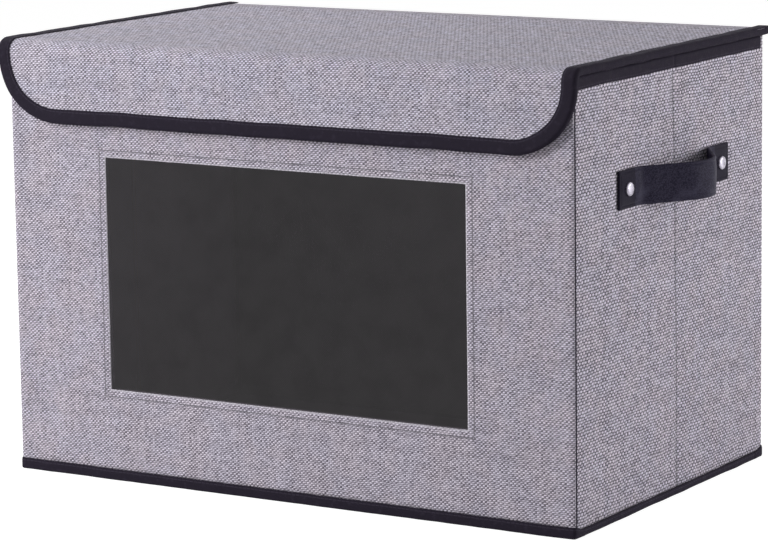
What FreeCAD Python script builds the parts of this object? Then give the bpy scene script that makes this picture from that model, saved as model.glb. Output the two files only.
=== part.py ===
"""A collapsible fabric storage box with a hinged lid and a clear front window.

Six board panels covered in linen-look cloth make the box: front, back, two side walls that
are each creased into halves, a lid and the lid's front flap. A loose base board lies on the
bottom cloth. Black tape binds every free edge, and a strap handle is riveted across the
crease of each side.

Millimetres, +Z up. The origin is the middle of the underside, the window faces -Y, and the
long side of the box lies along X.
"""
import FreeCAD, Part
import math
import os

# Erected box, over the outer faces of its walls and up to the top of its lid
BOX_WIDTH = 400.0
BOX_DEPTH = 250.0
BOX_HEIGHT = 275.0

# Layers of every panel, from the outside in
CLOTH = 1.0
BOARD = 2.0
LINING = 0.5
PANEL = CLOTH + BOARD + LINING
CLOTH_ROLL = 1.5

# Black binding tape, folded over the free edges
TAPE = 0.8
TAPE_WIDTH = 8.0
TAPE_ROLL = 0.6

# Bottom cloth, and the low tape ring that joins it to the walls
BOTTOM_CLOTH = 0.8
BOTTOM_TAPE_HEIGHT = 6.2
BOTTOM_TAPE_EASE = 0.1

# Loose base board in its sleeve, which swings up against the back wall
BASE_BOARD = 2.0
BASE_SLEEVE = 0.5
BASE_CORNER = 3.0
BASE_SIDE_EASE = 1.5
BASE_FRONT_EASE = 1.7
BASE_REST_EASE = 0.2
BASE_BACK_EASE = 0.3

# Room that the folding walls keep over and in front of the base board
FOLD_FOOT_EASE = 1.0
FOLD_BACK_EASE = 0.7

# Crease down the middle of each side wall
CREASE_GAP = 0.2
CREASE_BOARD_GAP = 3.0
CORNER_EASE = 0.2
CORNER_TAPE = 0.8
RIM_END_EASE = 0.5

# Lid and its front flap
LID_SIDE_OVERHANG = 4.0
LID_SEAT = 0.5
LID_BEND_RADIUS = 8.0
LID_INNER_BEND_RADIUS = 1.5
FLAP_STANDOFF = 2.2
FLAP_DROP = 50.2
FLAP_CORNER = 42.0
FLAP_CREASE_GAP = 0.3
FLAP_TAPE_CLEARS = 124.0

# Clear window in the front wall
WINDOW_WIDTH = 257.0
WINDOW_HEIGHT = 146.0
WINDOW_SILL = 58.0
PANE = 0.5
PANE_MARGIN = 12.0
PANE_EASE = 1.0

# Strap handle across each side crease
STRAP = 2.0
STRAP_HEIGHT = 23.0
STRAP_LENGTH = 144.0
STRAP_MIDDLE_Z = 197.5
STRAP_END_RADIUS = 1.5
STRAP_EASE = 0.1
ARCH_SPAN = 98.0
ARCH_RISE = 22.0
ARCH_CROWN_RADIUS = 24.0

# Rivets of the handles
RIVET_SPACING = 122.0
RIVET_POST_RADIUS = 1.5
RIVET_HOLE_EASE = 0.1
RIVET_HEAD_RADIUS = 4.2
RIVET_HEAD_HEIGHT = 2.0
RIVET_HEAD_BEVEL = 1.2
RIVET_TAIL_RADIUS = 2.3
RIVET_TAIL_HEIGHT = 0.6
WASHER_RADIUS = 4.5
WASHER = 0.8

# Planes that the panels share
SIDE_OUTER_X = BOX_WIDTH / 2
SIDE_INNER_X = SIDE_OUTER_X - PANEL
END_OUTER_Y = BOX_DEPTH / 2
END_INNER_Y = END_OUTER_Y - PANEL
LID_UNDERSIDE_Z = BOX_HEIGHT - PANEL
WALL_TOP_Z = LID_UNDERSIDE_Z - TAPE - LID_SEAT
PANEL_TOP_Z = WALL_TOP_Z - TAPE
BASE_THICKNESS = BASE_BOARD + 2 * BASE_SLEEVE
BASE_UNDERSIDE_Z = BOTTOM_CLOTH + BASE_REST_EASE
WALL_FOOT_Z = BASE_UNDERSIDE_Z + BASE_THICKNESS + FOLD_FOOT_EASE
CORNER_HINGE_Y = END_INNER_Y - BASE_BACK_EASE - BASE_THICKNESS - FOLD_BACK_EASE
LID_EDGE_X = SIDE_OUTER_X + LID_SIDE_OVERHANG
FLAP_INNER_Y = -END_OUTER_Y - FLAP_STANDOFF
FLAP_OUTER_Y = FLAP_INNER_Y - PANEL
FLAP_HINGE_Z = BOX_HEIGHT - LID_BEND_RADIUS
FLAP_TOP_Z = FLAP_HINGE_Z - FLAP_CREASE_GAP


def block(x_span, y_span, z_span):
    """A box between two values along each axis."""
    corner = FreeCAD.Vector(x_span[0], y_span[0], z_span[0])
    lengths = [span[1] - span[0] for span in (x_span, y_span, z_span)]
    return Part.makeBox(*lengths, corner)


def centred(width):
    """The span of a width that is centred on zero."""
    return (-width / 2, width / 2)


def round_edges(shape, radius, chosen):
    """The shape with a fillet on each edge for which chosen(edge) is true."""
    edges = [edge for edge in shape.Edges if chosen(edge)]
    return shape.makeFillet(radius, edges)


def is_vertical(edge):
    """True for an edge that runs along Z."""
    bounds = edge.BoundBox
    return bounds.XLength + bounds.YLength < 1e-6 < bounds.ZLength


def mirrored_x(shape):
    """The shape on the other side of the box."""
    return shape.mirror(FreeCAD.Vector(0, 0, 0), FreeCAD.Vector(1, 0, 0))


def mirrored_y(shape):
    """The shape at the other end of the box."""
    return shape.mirror(FreeCAD.Vector(0, 0, 0), FreeCAD.Vector(0, 1, 0))


def folded_tape(length):
    """Tape folded over a straight panel edge that runs from the origin along +Y.

    The panel hangs below the origin's plane, between x = 0 and x = PANEL.
    """
    roll = min(TAPE_ROLL, 0.9 * TAPE)
    outer = block((-TAPE, PANEL + TAPE), (0, length), (TAPE - TAPE_WIDTH, TAPE))
    outer = round_edges(outer, roll, lambda edge: edge.BoundBox.YLength > length / 2
                        and edge.CenterOfMass.z > 0)
    return outer.cut(block((0, PANEL), (0, length), (TAPE - TAPE_WIDTH, 0)))


def cloth_roll():
    """Radius of the cloth where it turns a corner, within the thickness of a panel."""
    return min(CLOTH_ROLL, 0.9 * PANEL)


def end_cover(top_z):
    """Cloth of the back wall: a face with its edges turned in round the board."""
    face = block(centred(BOX_WIDTH), (END_INNER_Y, END_OUTER_Y), (WALL_FOOT_Z, top_z))
    face = round_edges(face, cloth_roll(), lambda edge: is_vertical(edge)
                       and edge.CenterOfMass.y > END_OUTER_Y - CLOTH / 2)
    pocket = block(centred(BOX_WIDTH - 2 * CLOTH), (END_INNER_Y, END_OUTER_Y - CLOTH),
                   (WALL_FOOT_Z, top_z))
    return face.cut(pocket)


def end_board(top_z):
    """Board of the back wall."""
    return block(centred(BOX_WIDTH - 2 * CLOTH),
                 (END_INNER_Y + LINING, END_OUTER_Y - CLOTH), (WALL_FOOT_Z, top_z))


def end_lining(top_z):
    """Lining of the back wall."""
    return block(centred(BOX_WIDTH - 2 * CLOTH),
                 (END_INNER_Y, END_INNER_Y + LINING), (WALL_FOOT_Z, top_z))


def corner_tape():
    """Seam tape in the right rear corner, from the back wall to the hinge line."""
    outer_x = SIDE_OUTER_X - CLOTH - CORNER_EASE
    height = (WALL_FOOT_Z, WALL_TOP_Z - TAPE_WIDTH - CORNER_EASE)
    across = block((SIDE_INNER_X, SIDE_INNER_X + CORNER_TAPE),
                   (CORNER_HINGE_Y + CORNER_EASE, END_INNER_Y), height)
    along = block((SIDE_INNER_X, outer_x), (END_INNER_Y - CORNER_TAPE, END_INNER_Y), height)
    return across.fuse(along).removeSplitter()


def window_opening(margin):
    """A block through the front wall, larger than the window by margin on each side."""
    return block(centred(WINDOW_WIDTH + 2 * margin), (-END_OUTER_Y - PANEL, 0),
                 (WINDOW_SILL - margin, WINDOW_SILL + WINDOW_HEIGHT + margin))


def window_pane():
    """Clear sheet, sewn behind the edge of the window."""
    margin = PANE_MARGIN
    outer_y = -END_OUTER_Y + CLOTH
    return block(centred(WINDOW_WIDTH + 2 * margin), (outer_y, outer_y + PANE),
                 (WINDOW_SILL - margin, WINDOW_SILL + WINDOW_HEIGHT + margin))


def front_rim():
    """Tape over the top edge of the front wall, between the cloth of the side walls."""
    half_length = SIDE_OUTER_X - CLOTH - CORNER_EASE
    tape = folded_tape(2 * half_length)
    tape.rotate(FreeCAD.Vector(0, 0, 0), FreeCAD.Vector(0, 0, 1), -90)
    tape.translate(FreeCAD.Vector(-half_length, -END_INNER_Y, PANEL_TOP_Z))
    return tape


def rivet_place(radius, x_span):
    """A round bar along X at the handle rivet of the right rear wall half."""
    start = FreeCAD.Vector(x_span[0], RIVET_SPACING / 2, STRAP_MIDDLE_Z)
    return Part.makeCylinder(radius, x_span[1] - x_span[0], start, FreeCAD.Vector(1, 0, 0))


def drilled(shape):
    """The shape with the rivet's hole through it."""
    hole = rivet_place(RIVET_POST_RADIUS + RIVET_HOLE_EASE,
                       (SIDE_INNER_X - PANEL, SIDE_OUTER_X + PANEL + STRAP))
    return shape.cut(hole)


def half_cover():
    """Cloth of the right rear wall half, which reaches the back wall."""
    return drilled(block((SIDE_OUTER_X - CLOTH, SIDE_OUTER_X),
                         (CREASE_GAP / 2, END_INNER_Y - CORNER_EASE),
                         (WALL_FOOT_Z, PANEL_TOP_Z)))


def half_board():
    """Board of the right rear wall half, from the crease to the hinge line."""
    return drilled(block((SIDE_INNER_X + LINING, SIDE_OUTER_X - CLOTH),
                         (CREASE_BOARD_GAP / 2, CORNER_HINGE_Y),
                         (WALL_FOOT_Z, PANEL_TOP_Z)))


def half_lining():
    """Lining of the right rear wall half."""
    return drilled(block((SIDE_INNER_X, SIDE_INNER_X + LINING),
                         (CREASE_GAP / 2, CORNER_HINGE_Y),
                         (WALL_FOOT_Z, PANEL_TOP_Z)))


def half_rim():
    """Tape over the top edge of the right rear wall half."""
    start_y = CREASE_GAP / 2
    tape = folded_tape(END_INNER_Y - TAPE - RIM_END_EASE - start_y)
    tape.translate(FreeCAD.Vector(SIDE_INNER_X, start_y, PANEL_TOP_Z))
    return tape


def strap_side(offset):
    """One face of a handle strap, as edges in plan from its front end to its rear end.

    The strap lies flat at both ends and arches away from the wall between them, on two
    foot arcs and a crown arc that are tangent. offset moves the line out from the middle
    of the strap's thickness.
    """
    half_span = ARCH_SPAN / 2
    radius_sum = (half_span ** 2 + ARCH_RISE ** 2) / (2 * ARCH_RISE)
    foot_radius = radius_sum - ARCH_CROWN_RADIUS
    turn = math.asin(half_span / radius_sum)
    middle_x = SIDE_OUTER_X + STRAP_EASE + STRAP / 2

    def flat(y):
        return FreeCAD.Vector(middle_x + offset, y, 0)

    def foot(angle, side):
        reach = foot_radius - offset
        return FreeCAD.Vector(middle_x + foot_radius - reach * math.cos(angle),
                              side * (half_span - reach * math.sin(angle)), 0)

    top = FreeCAD.Vector(middle_x + ARCH_RISE + offset, 0, 0)
    return [
        Part.makeLine(flat(-STRAP_LENGTH / 2), flat(-half_span)),
        Part.Arc(foot(0, -1), foot(turn / 2, -1), foot(turn, -1)).toShape(),
        Part.Arc(foot(turn, -1), top, foot(turn, 1)).toShape(),
        Part.Arc(foot(turn, 1), foot(turn / 2, 1), foot(0, 1)).toShape(),
        Part.makeLine(flat(half_span), flat(STRAP_LENGTH / 2)),
    ]


def handle_strap():
    """Arched strap of the right side, with a rivet hole in each end tab."""
    inner = strap_side(-STRAP / 2)
    outer = strap_side(STRAP / 2)
    ends = [Part.makeLine(inner[0].Vertexes[0].Point, outer[0].Vertexes[0].Point),
            Part.makeLine(inner[-1].Vertexes[-1].Point, outer[-1].Vertexes[-1].Point)]
    outline = Part.Wire(Part.__sortEdges__(inner + outer + ends))
    strap = Part.Face(outline).extrude(FreeCAD.Vector(0, 0, STRAP_HEIGHT))
    strap = round_edges(strap, STRAP_END_RADIUS,
                        lambda edge: abs(edge.CenterOfMass.y) > STRAP_LENGTH / 2 - 1e-3
                        and edge.BoundBox.XLength > STRAP / 2)
    strap.translate(FreeCAD.Vector(0, 0, STRAP_MIDDLE_Z - STRAP_HEIGHT / 2))
    rear_hole = rivet_place(RIVET_POST_RADIUS + RIVET_HOLE_EASE,
                            (SIDE_OUTER_X - PANEL, SIDE_OUTER_X + PANEL + STRAP))
    return strap.cut(rear_hole).cut(mirrored_y(rear_hole))


def rivet():
    """Cap rivet of the right rear wall half, spread over its washer on the inside."""
    seat_x = SIDE_OUTER_X + 2 * STRAP_EASE + STRAP
    crown_x = seat_x + RIVET_HEAD_HEIGHT
    washer_x = SIDE_INNER_X - WASHER
    tail_x = washer_x - RIVET_TAIL_HEIGHT
    bevel = min(RIVET_HEAD_BEVEL, 0.9 * RIVET_HEAD_HEIGHT, 0.9 * RIVET_HEAD_RADIUS)
    outline = [(crown_x, 0), (tail_x, 0), (tail_x, RIVET_TAIL_RADIUS),
               (washer_x, RIVET_TAIL_RADIUS), (washer_x, RIVET_POST_RADIUS),
               (seat_x, RIVET_POST_RADIUS), (seat_x, RIVET_HEAD_RADIUS),
               (crown_x - bevel, RIVET_HEAD_RADIUS), (crown_x, RIVET_HEAD_RADIUS - bevel),
               (crown_x, 0)]
    corners = [FreeCAD.Vector(x, RIVET_SPACING / 2 + radius, STRAP_MIDDLE_Z)
               for x, radius in outline]
    profile = Part.Face(Part.makePolygon(corners))
    return profile.revolve(corners[0], FreeCAD.Vector(1, 0, 0), 360)


def washer():
    """Flat washer under the tail of the rivet."""
    disc = rivet_place(WASHER_RADIUS, (SIDE_INNER_X - WASHER, SIDE_INNER_X))
    return disc.cut(rivet_place(RIVET_POST_RADIUS, (SIDE_INNER_X - WASHER, SIDE_INNER_X)))


def bottom_cloth_edge(across):
    """Half-size of the bottom cloth inside its tape, for a box that is across wide."""
    return across / 2 + BOTTOM_TAPE_EASE + TAPE - TAPE_WIDTH


def bottom_cloth():
    """Cloth that the box stands on."""
    return block(centred(2 * bottom_cloth_edge(BOX_WIDTH)),
                 centred(2 * bottom_cloth_edge(BOX_DEPTH)), (0, BOTTOM_CLOTH))


def bottom_tape():
    """Ring of tape round the foot of the walls, turned in under the box."""
    reach = BOTTOM_TAPE_EASE + TAPE
    ring = block(centred(BOX_WIDTH + 2 * reach), centred(BOX_DEPTH + 2 * reach),
                 (0, BOTTOM_TAPE_HEIGHT))
    ring = round_edges(ring, cloth_roll() + reach, is_vertical)
    room = block(centred(BOX_WIDTH + 2 * BOTTOM_TAPE_EASE),
                 centred(BOX_DEPTH + 2 * BOTTOM_TAPE_EASE),
                 (BOTTOM_CLOTH, BOTTOM_TAPE_HEIGHT))
    room = round_edges(room, cloth_roll() + BOTTOM_TAPE_EASE, is_vertical)
    return ring.cut(room).cut(bottom_cloth())


def base_plate(skin):
    """The base board, grown by the thickness of its sleeve when skin is given."""
    width = BOX_WIDTH - 2 * (PANEL + BASE_SIDE_EASE + BASE_SLEEVE - skin)
    rear_y = END_INNER_Y - BASE_BACK_EASE - BASE_THICKNESS - BASE_SLEEVE + skin
    front_y = -END_INNER_Y + BASE_FRONT_EASE + BASE_SLEEVE - skin
    low_z = BASE_UNDERSIDE_Z + BASE_SLEEVE - skin
    plate = block(centred(width), (front_y, rear_y), (low_z, low_z + BASE_BOARD + 2 * skin))
    return round_edges(plate, BASE_CORNER + skin, is_vertical)


def bend_line(side, depth, inset):
    """Line along one face of the lid, seen from the side, from its rear edge to its front end.

    The outer face is side 1 and the inner one is side -1. The line runs at a depth into the
    panel from that face, and stops inset short of both ends. Returns its edges, its first
    point and its last point.
    """
    if side > 0:
        face_z, face_y, radius = BOX_HEIGHT, FLAP_OUTER_Y, LID_BEND_RADIUS
    else:
        face_z, face_y, radius = LID_UNDERSIDE_Z, FLAP_INNER_Y, LID_INNER_BEND_RADIUS
    middle_y, middle_z = face_y + radius, face_z - radius
    reach = radius - side * depth
    end_z = FLAP_HINGE_Z + inset
    last = math.asin(max(0.0, end_z - middle_z) / reach)

    def on_bend(angle):
        return FreeCAD.Vector(0, middle_y - reach * math.cos(angle),
                              middle_z + reach * math.sin(angle))

    rear = FreeCAD.Vector(0, END_OUTER_Y - inset, middle_z + reach)
    top = on_bend(math.pi / 2)
    front = on_bend(last)
    foot = FreeCAD.Vector(0, front.y, end_z)
    bend = Part.Arc(top, on_bend((math.pi / 2 + last) / 2), front).toShape()
    edges = [Part.makeLine(rear, top), bend]
    if front.distanceToPoint(foot) > 1e-6:
        edges.append(Part.makeLine(front, foot))
    return edges, rear, foot


def bent_slab(x_span, outer, inner, inset=0):
    """A layer of the lid that follows its bend, between two lines given as (side, depth)."""
    outer_edges, outer_rear, outer_foot = bend_line(*outer, inset)
    inner_edges, inner_rear, inner_foot = bend_line(*inner, inset)
    ends = [Part.makeLine(outer_rear, inner_rear), Part.makeLine(outer_foot, inner_foot)]
    outline = Part.Wire(Part.__sortEdges__(outer_edges + inner_edges + ends))
    slab = Part.Face(outline).extrude(FreeCAD.Vector(x_span[1] - x_span[0], 0, 0))
    slab.translate(FreeCAD.Vector(x_span[0], 0, 0))
    return slab


def lid_cover():
    """Cloth of the lid, bent down at the front and turned in round the board."""
    pocket = bent_slab(centred(2 * (LID_EDGE_X - CLOTH)), (1, CLOTH), (-1, 0), CLOTH)
    return bent_slab(centred(2 * LID_EDGE_X), (1, 0), (-1, 0)).cut(pocket)


def lid_board():
    """Board of the lid, which stops where the bend starts."""
    return block(centred(2 * (LID_EDGE_X - CLOTH)),
                 (FLAP_OUTER_Y + LID_BEND_RADIUS, END_OUTER_Y - CLOTH),
                 (LID_UNDERSIDE_Z + LINING, BOX_HEIGHT - CLOTH))


def lid_lining():
    """Lining of the lid and of the inside of its bend."""
    return bent_slab(centred(2 * (LID_EDGE_X - CLOTH)), (-1, LINING), (-1, 0), CLOTH)


def crease_notch():
    """Room in front of the flap's crease, which the tapes close over as the flap turns up."""
    reach = 4 * TAPE
    half_turn = math.radians(FLAP_TAPE_CLEARS / 2)
    front_y = FLAP_OUTER_Y - reach * math.cos(half_turn)
    rise = reach * math.sin(half_turn)
    width = 2 * (LID_EDGE_X + PANEL)
    corners = [FreeCAD.Vector(-width / 2, y, z)
               for y, z in ((FLAP_OUTER_Y, FLAP_HINGE_Z), (front_y, FLAP_HINGE_Z + rise),
                            (front_y, FLAP_HINGE_Z - rise), (FLAP_OUTER_Y, FLAP_HINGE_Z))]
    return Part.Face(Part.makePolygon(corners)).extrude(FreeCAD.Vector(width, 0, 0))


def lid_side_tape():
    """Tape over the right edge of the lid, round its bend."""
    reach = LID_EDGE_X + TAPE
    band = bent_slab((reach - TAPE_WIDTH, reach), (1, -TAPE), (-1, -TAPE))
    return band.cut(bent_slab((0, LID_EDGE_X), (1, 0), (-1, 0))).cut(crease_notch())


def flap_slab(y_span, top_z, growth):
    """A slab in the flap's outline, with rounded lower corners, grown by growth."""
    edge_x = LID_EDGE_X + growth
    bottom_z = BOX_HEIGHT - FLAP_DROP - growth
    slab = block(centred(2 * edge_x), y_span, (bottom_z, top_z))
    radius = min(FLAP_CORNER + growth, 0.95 * (top_z - bottom_z))
    return round_edges(slab, radius, lambda edge: edge.BoundBox.YLength > 1e-6
                       and abs(edge.CenterOfMass.x) > edge_x - 1e-6
                       and edge.CenterOfMass.z < bottom_z + 1e-6
                       and edge.BoundBox.ZLength < 1e-6)


def flap_cover():
    """Cloth of the flap, turned in round its board."""
    pocket = flap_slab((FLAP_OUTER_Y + CLOTH, FLAP_INNER_Y), FLAP_TOP_Z - CLOTH, -CLOTH)
    return flap_slab((FLAP_OUTER_Y, FLAP_INNER_Y), FLAP_TOP_Z, 0).cut(pocket)


def flap_tape():
    """Tape round the sides and the lower edge of the flap."""
    band = flap_slab((FLAP_OUTER_Y - TAPE, FLAP_INNER_Y + TAPE), FLAP_TOP_Z, TAPE)
    plate = flap_slab((FLAP_OUTER_Y, FLAP_INNER_Y), FLAP_TOP_Z, 0)
    middle = flap_slab((FLAP_OUTER_Y - PANEL, FLAP_INNER_Y + PANEL), FLAP_TOP_Z,
                       TAPE - TAPE_WIDTH)
    return band.cut(plate).cut(middle).cut(crease_notch())


def back_wall():
    """Back wall with the bottom cloth and its tape, which stay with it."""
    tape = corner_tape()
    return {
        "back_cover": end_cover(WALL_TOP_Z),
        "back_board": end_board(WALL_TOP_Z),
        "back_lining": end_lining(WALL_TOP_Z),
        "right_rear_corner_tape": tape,
        "left_rear_corner_tape": mirrored_x(tape),
        "bottom_cloth": bottom_cloth(),
        "bottom_binding": bottom_tape(),
    }


def front_wall():
    """Front wall with its window."""
    tape = mirrored_y(corner_tape())
    board_window = window_opening(PANE_MARGIN + PANE_EASE)
    return {
        "front_cover": mirrored_y(end_cover(PANEL_TOP_Z)).cut(window_opening(0)),
        "front_board": mirrored_y(end_board(PANEL_TOP_Z)).cut(board_window),
        "front_lining": mirrored_y(end_lining(PANEL_TOP_Z)).cut(window_opening(0)),
        "window_pane": window_pane(),
        "front_rim_binding": front_rim(),
        "right_front_corner_tape": tape,
        "left_front_corner_tape": mirrored_x(tape),
    }


def side_walls():
    """Four wall halves with their rivets, and the two handle straps."""
    layers = {"cover": half_cover(), "board": half_board(), "lining": half_lining(),
              "rim_binding": half_rim(), "rivet": rivet(), "rivet_washer": washer()}
    pieces = {}
    for layer, shape in layers.items():
        pieces["right_rear_" + layer] = shape
        pieces["right_front_" + layer] = mirrored_y(shape)
        pieces["left_rear_" + layer] = mirrored_x(shape)
        pieces["left_front_" + layer] = mirrored_x(mirrored_y(shape))
    strap = handle_strap()
    pieces["right_handle_strap"] = strap
    pieces["left_handle_strap"] = mirrored_x(strap)
    return pieces


def base():
    """Base board and the sleeve that it is sewn into."""
    board = base_plate(0)
    return {"base_board": board, "base_board_sleeve": base_plate(BASE_SLEEVE).cut(board)}


def lid():
    """Lid panel with the tape on its side edges."""
    tape = lid_side_tape()
    return {
        "lid_cover": lid_cover(),
        "lid_board": lid_board(),
        "lid_lining": lid_lining(),
        "lid_right_binding": tape,
        "lid_left_binding": mirrored_x(tape),
    }


def flap():
    """Flap that hangs from the front of the lid."""
    board_y = (FLAP_OUTER_Y + CLOTH, FLAP_INNER_Y - LINING)
    lining_y = (FLAP_INNER_Y - LINING, FLAP_INNER_Y)
    return {
        "flap_cover": flap_cover(),
        "flap_board": flap_slab(board_y, FLAP_TOP_Z - CLOTH, -CLOTH),
        "flap_lining": flap_slab(lining_y, FLAP_TOP_Z - CLOTH, -CLOTH),
        "flap_binding": flap_tape(),
    }


os.makedirs("parts", exist_ok=True)
for group in (back_wall, front_wall, side_walls, base, lid, flap):
    for node, solid in group().items():
        solid.exportStep(os.path.join("parts", node + ".step"))
        print(f"{node}: {solid.Volume / 1000:.2f} cm3, {len(solid.Solids)} solid")
print(f"corner hinges at x {SIDE_INNER_X:.2f}, y {CORNER_HINGE_Y:.2f}; "
      f"base hinge at y {END_INNER_Y - BASE_BACK_EASE - BASE_THICKNESS:.2f}, "
      f"z {BASE_UNDERSIDE_Z:.2f}")
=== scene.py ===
"""Looks of a collapsible fabric storage box: its cloth, tape, window, straps and rivets.

Metres, +Z up. The window faces -Y and the long side of the box lies along X. Every piece
carries a map named FLAT, which holds its place on the cut cloth in metres, so that a weave
keeps its real size and follows the surface.
"""
import logging
import math
from dataclasses import dataclass, field
from enum import Enum
from typing import Dict, List, Optional, Sequence, Tuple, Union

import bmesh
import bpy
import numpy as np
from mathutils import Matrix, Vector
from numpy.typing import ArrayLike


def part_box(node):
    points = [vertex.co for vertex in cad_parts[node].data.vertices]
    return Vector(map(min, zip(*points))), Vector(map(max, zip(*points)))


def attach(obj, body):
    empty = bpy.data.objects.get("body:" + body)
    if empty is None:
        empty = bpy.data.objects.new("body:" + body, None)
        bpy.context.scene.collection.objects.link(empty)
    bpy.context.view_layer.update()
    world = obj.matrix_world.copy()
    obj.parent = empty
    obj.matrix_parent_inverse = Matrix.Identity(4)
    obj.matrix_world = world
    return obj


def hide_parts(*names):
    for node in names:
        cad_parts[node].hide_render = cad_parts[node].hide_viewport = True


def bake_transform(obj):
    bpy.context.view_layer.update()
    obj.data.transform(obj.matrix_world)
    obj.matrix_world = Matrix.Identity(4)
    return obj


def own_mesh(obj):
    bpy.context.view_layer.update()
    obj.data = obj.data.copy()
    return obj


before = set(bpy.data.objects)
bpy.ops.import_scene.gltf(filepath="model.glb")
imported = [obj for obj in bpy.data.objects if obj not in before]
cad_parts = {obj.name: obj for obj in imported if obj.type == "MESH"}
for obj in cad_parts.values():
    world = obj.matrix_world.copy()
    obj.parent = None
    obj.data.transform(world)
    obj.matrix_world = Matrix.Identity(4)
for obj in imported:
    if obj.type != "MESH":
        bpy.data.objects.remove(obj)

log = logging.getLogger("storage_box")

MM = 0.001
CLOTH = 0.4 * MM
CELL = 5.0 * MM
FLAT = "FlatCloth"

Colour = Tuple[float, float, float, float]
Point = Tuple[float, float, float]
Directions = Union[Point, np.ndarray]
Value = Union[float, Sequence[float], "Signal"]
Inputs = Dict[Union[int, str], Value]


class Place(Enum):
    """A choice of place, whose name stands in the names of nodes and bodies."""

    @property
    def label(self) -> str:
        """The name as it stands there."""
        return self.name.lower()


class Side(Place):
    """A side of the box, with the sign of its X."""

    RIGHT = 1
    LEFT = -1


class End(Place):
    """An end of the box, with the sign of its Y."""

    REAR = 1
    FRONT = -1

    @property
    def wall(self) -> str:
        """Name of the body of the wall at this end."""
        return "back_wall" if self is End.REAR else "front_wall"


# Numbers and points


def srgb(*levels: float) -> Colour:
    """Linear colour of an sRGB colour.

    Args:
        *levels: Red, green and blue from 0 to 255.

    Returns:
        The linear colour with an alpha of 1.
    """
    value = np.array(levels) / 255
    linear = np.where(value <= 0.04045, value / 12.92, ((value + 0.055) / 1.055) ** 2.4)
    return (*linear.tolist(), 1.0)


def placed(*coordinates: Union[float, np.ndarray]) -> np.ndarray:
    """Points with the given coordinates, each a number or an array that widens to the rest."""
    return np.stack(np.broadcast_arrays(*coordinates), axis=-1)


def steps(start: float, end: float, size: float, through: Sequence[float] = ()) -> np.ndarray:
    """Evenly spaced values from start to end, with some values placed exactly.

    Args:
        start: First value.
        end: Last value, above the first.
        size: Largest distance between two values.
        through: Values that have to be among them.

    Returns:
        The values in rising order.
    """
    count = max(2, int(math.ceil((end - start) / size)) + 1)
    even = np.linspace(start, end, count)
    exact = np.array([value for value in through if start < value < end])
    if len(exact):
        near = np.abs(even[:, None] - exact[None, :]).min(axis=1) < 0.35 * size
        near[[0, -1]] = False
        even = np.concatenate([even[~near], exact])
    return np.unique(even)


def arc(centre: Sequence[float], radius: float, start: float, end: float,
        count: int = 7) -> np.ndarray:
    """Points on a circle, centre + radius (cos a, sin a), for a from start to end degrees.

    Args:
        centre: Centre of the circle in its plane.
        radius: Radius of the circle.
        start: First angle in degrees.
        end: Last angle in degrees.
        count: How many points.

    Returns:
        An array of count points in the plane.
    """
    angle = np.radians(np.linspace(start, end, count))
    return placed(centre[0] + radius * np.cos(angle), centre[1] + radius * np.sin(angle))


def run(start: Sequence[float], end: Sequence[float], size: float,
        through: Sequence[float] = ()) -> np.ndarray:
    """Points on a straight line, start + t (end - start).

    Args:
        start: First point in the plane.
        end: Last point in the plane.
        size: Largest distance between two points.
        through: Distances from the start at which a point has to lie.

    Returns:
        An array of points in the plane.
    """
    first = np.array(start, float)
    step = np.array(end, float) - first
    length = float(np.linalg.norm(step))
    share = steps(0, length, size, through) / length
    return first + share[:, None] * step


def joined(*runs: ArrayLike) -> np.ndarray:
    """The runs one after another, with the points that they share kept once.

    Args:
        *runs: Lists of points, each starting where the one before ends.

    Returns:
        One array of points.
    """
    points = np.concatenate(runs)
    apart = np.linalg.norm(np.diff(points, axis=0), axis=1) > 1e-7
    return points[np.concatenate([[True], apart])]


def lengths(points: np.ndarray) -> np.ndarray:
    """Distance along a line of points from its first point to each point."""
    return np.concatenate([[0.0], np.cumsum(np.linalg.norm(np.diff(points, axis=0), axis=1))])


def girths(section: np.ndarray) -> np.ndarray:
    """Distance round a closed outline from its first point to each point and back to it."""
    return lengths(np.concatenate([section, section[:1]]))


def ripple(first: np.ndarray, second: np.ndarray, wavelength: float, depth: float,
           seed: int) -> np.ndarray:
    """Soft uneven height: the mean of twelve plane waves of random direction and phase.

    Args:
        first: First coordinate of each point.
        second: Second coordinate of each point.
        wavelength: Mean wavelength of the waves.
        depth: Rough height of the bumps above and below zero.
        seed: Number that fixes the waves.

    Returns:
        A height for each point.
    """
    count = 12
    chance = np.random.default_rng(seed)
    heading = chance.uniform(0, 2 * math.pi, count)
    number = 2 * math.pi / (wavelength * chance.uniform(0.6, 1.7, count))
    phase = chance.uniform(0, 2 * math.pi, count)
    across = first[..., None] * np.cos(heading) * number
    along = second[..., None] * np.sin(heading) * number
    return depth * np.sin(across + along + phase).sum(axis=-1) / math.sqrt(count)


def smooth(value: np.ndarray) -> np.ndarray:
    """Smooth step of a value, 3t^2 - 2t^3, with the value held between 0 and 1."""
    held = np.clip(value, 0, 1)
    return held * held * (3 - 2 * held)


def normals_of(line: np.ndarray) -> np.ndarray:
    """Unit normals of a line in the plane, a quarter turn to the right of its heading.

    Args:
        line: Points of the line.

    Returns:
        One normal for each point.
    """
    heading = np.gradient(line, axis=0)
    heading /= np.linalg.norm(heading, axis=1)[:, None]
    return placed(heading[:, 1], -heading[:, 0])


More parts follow.
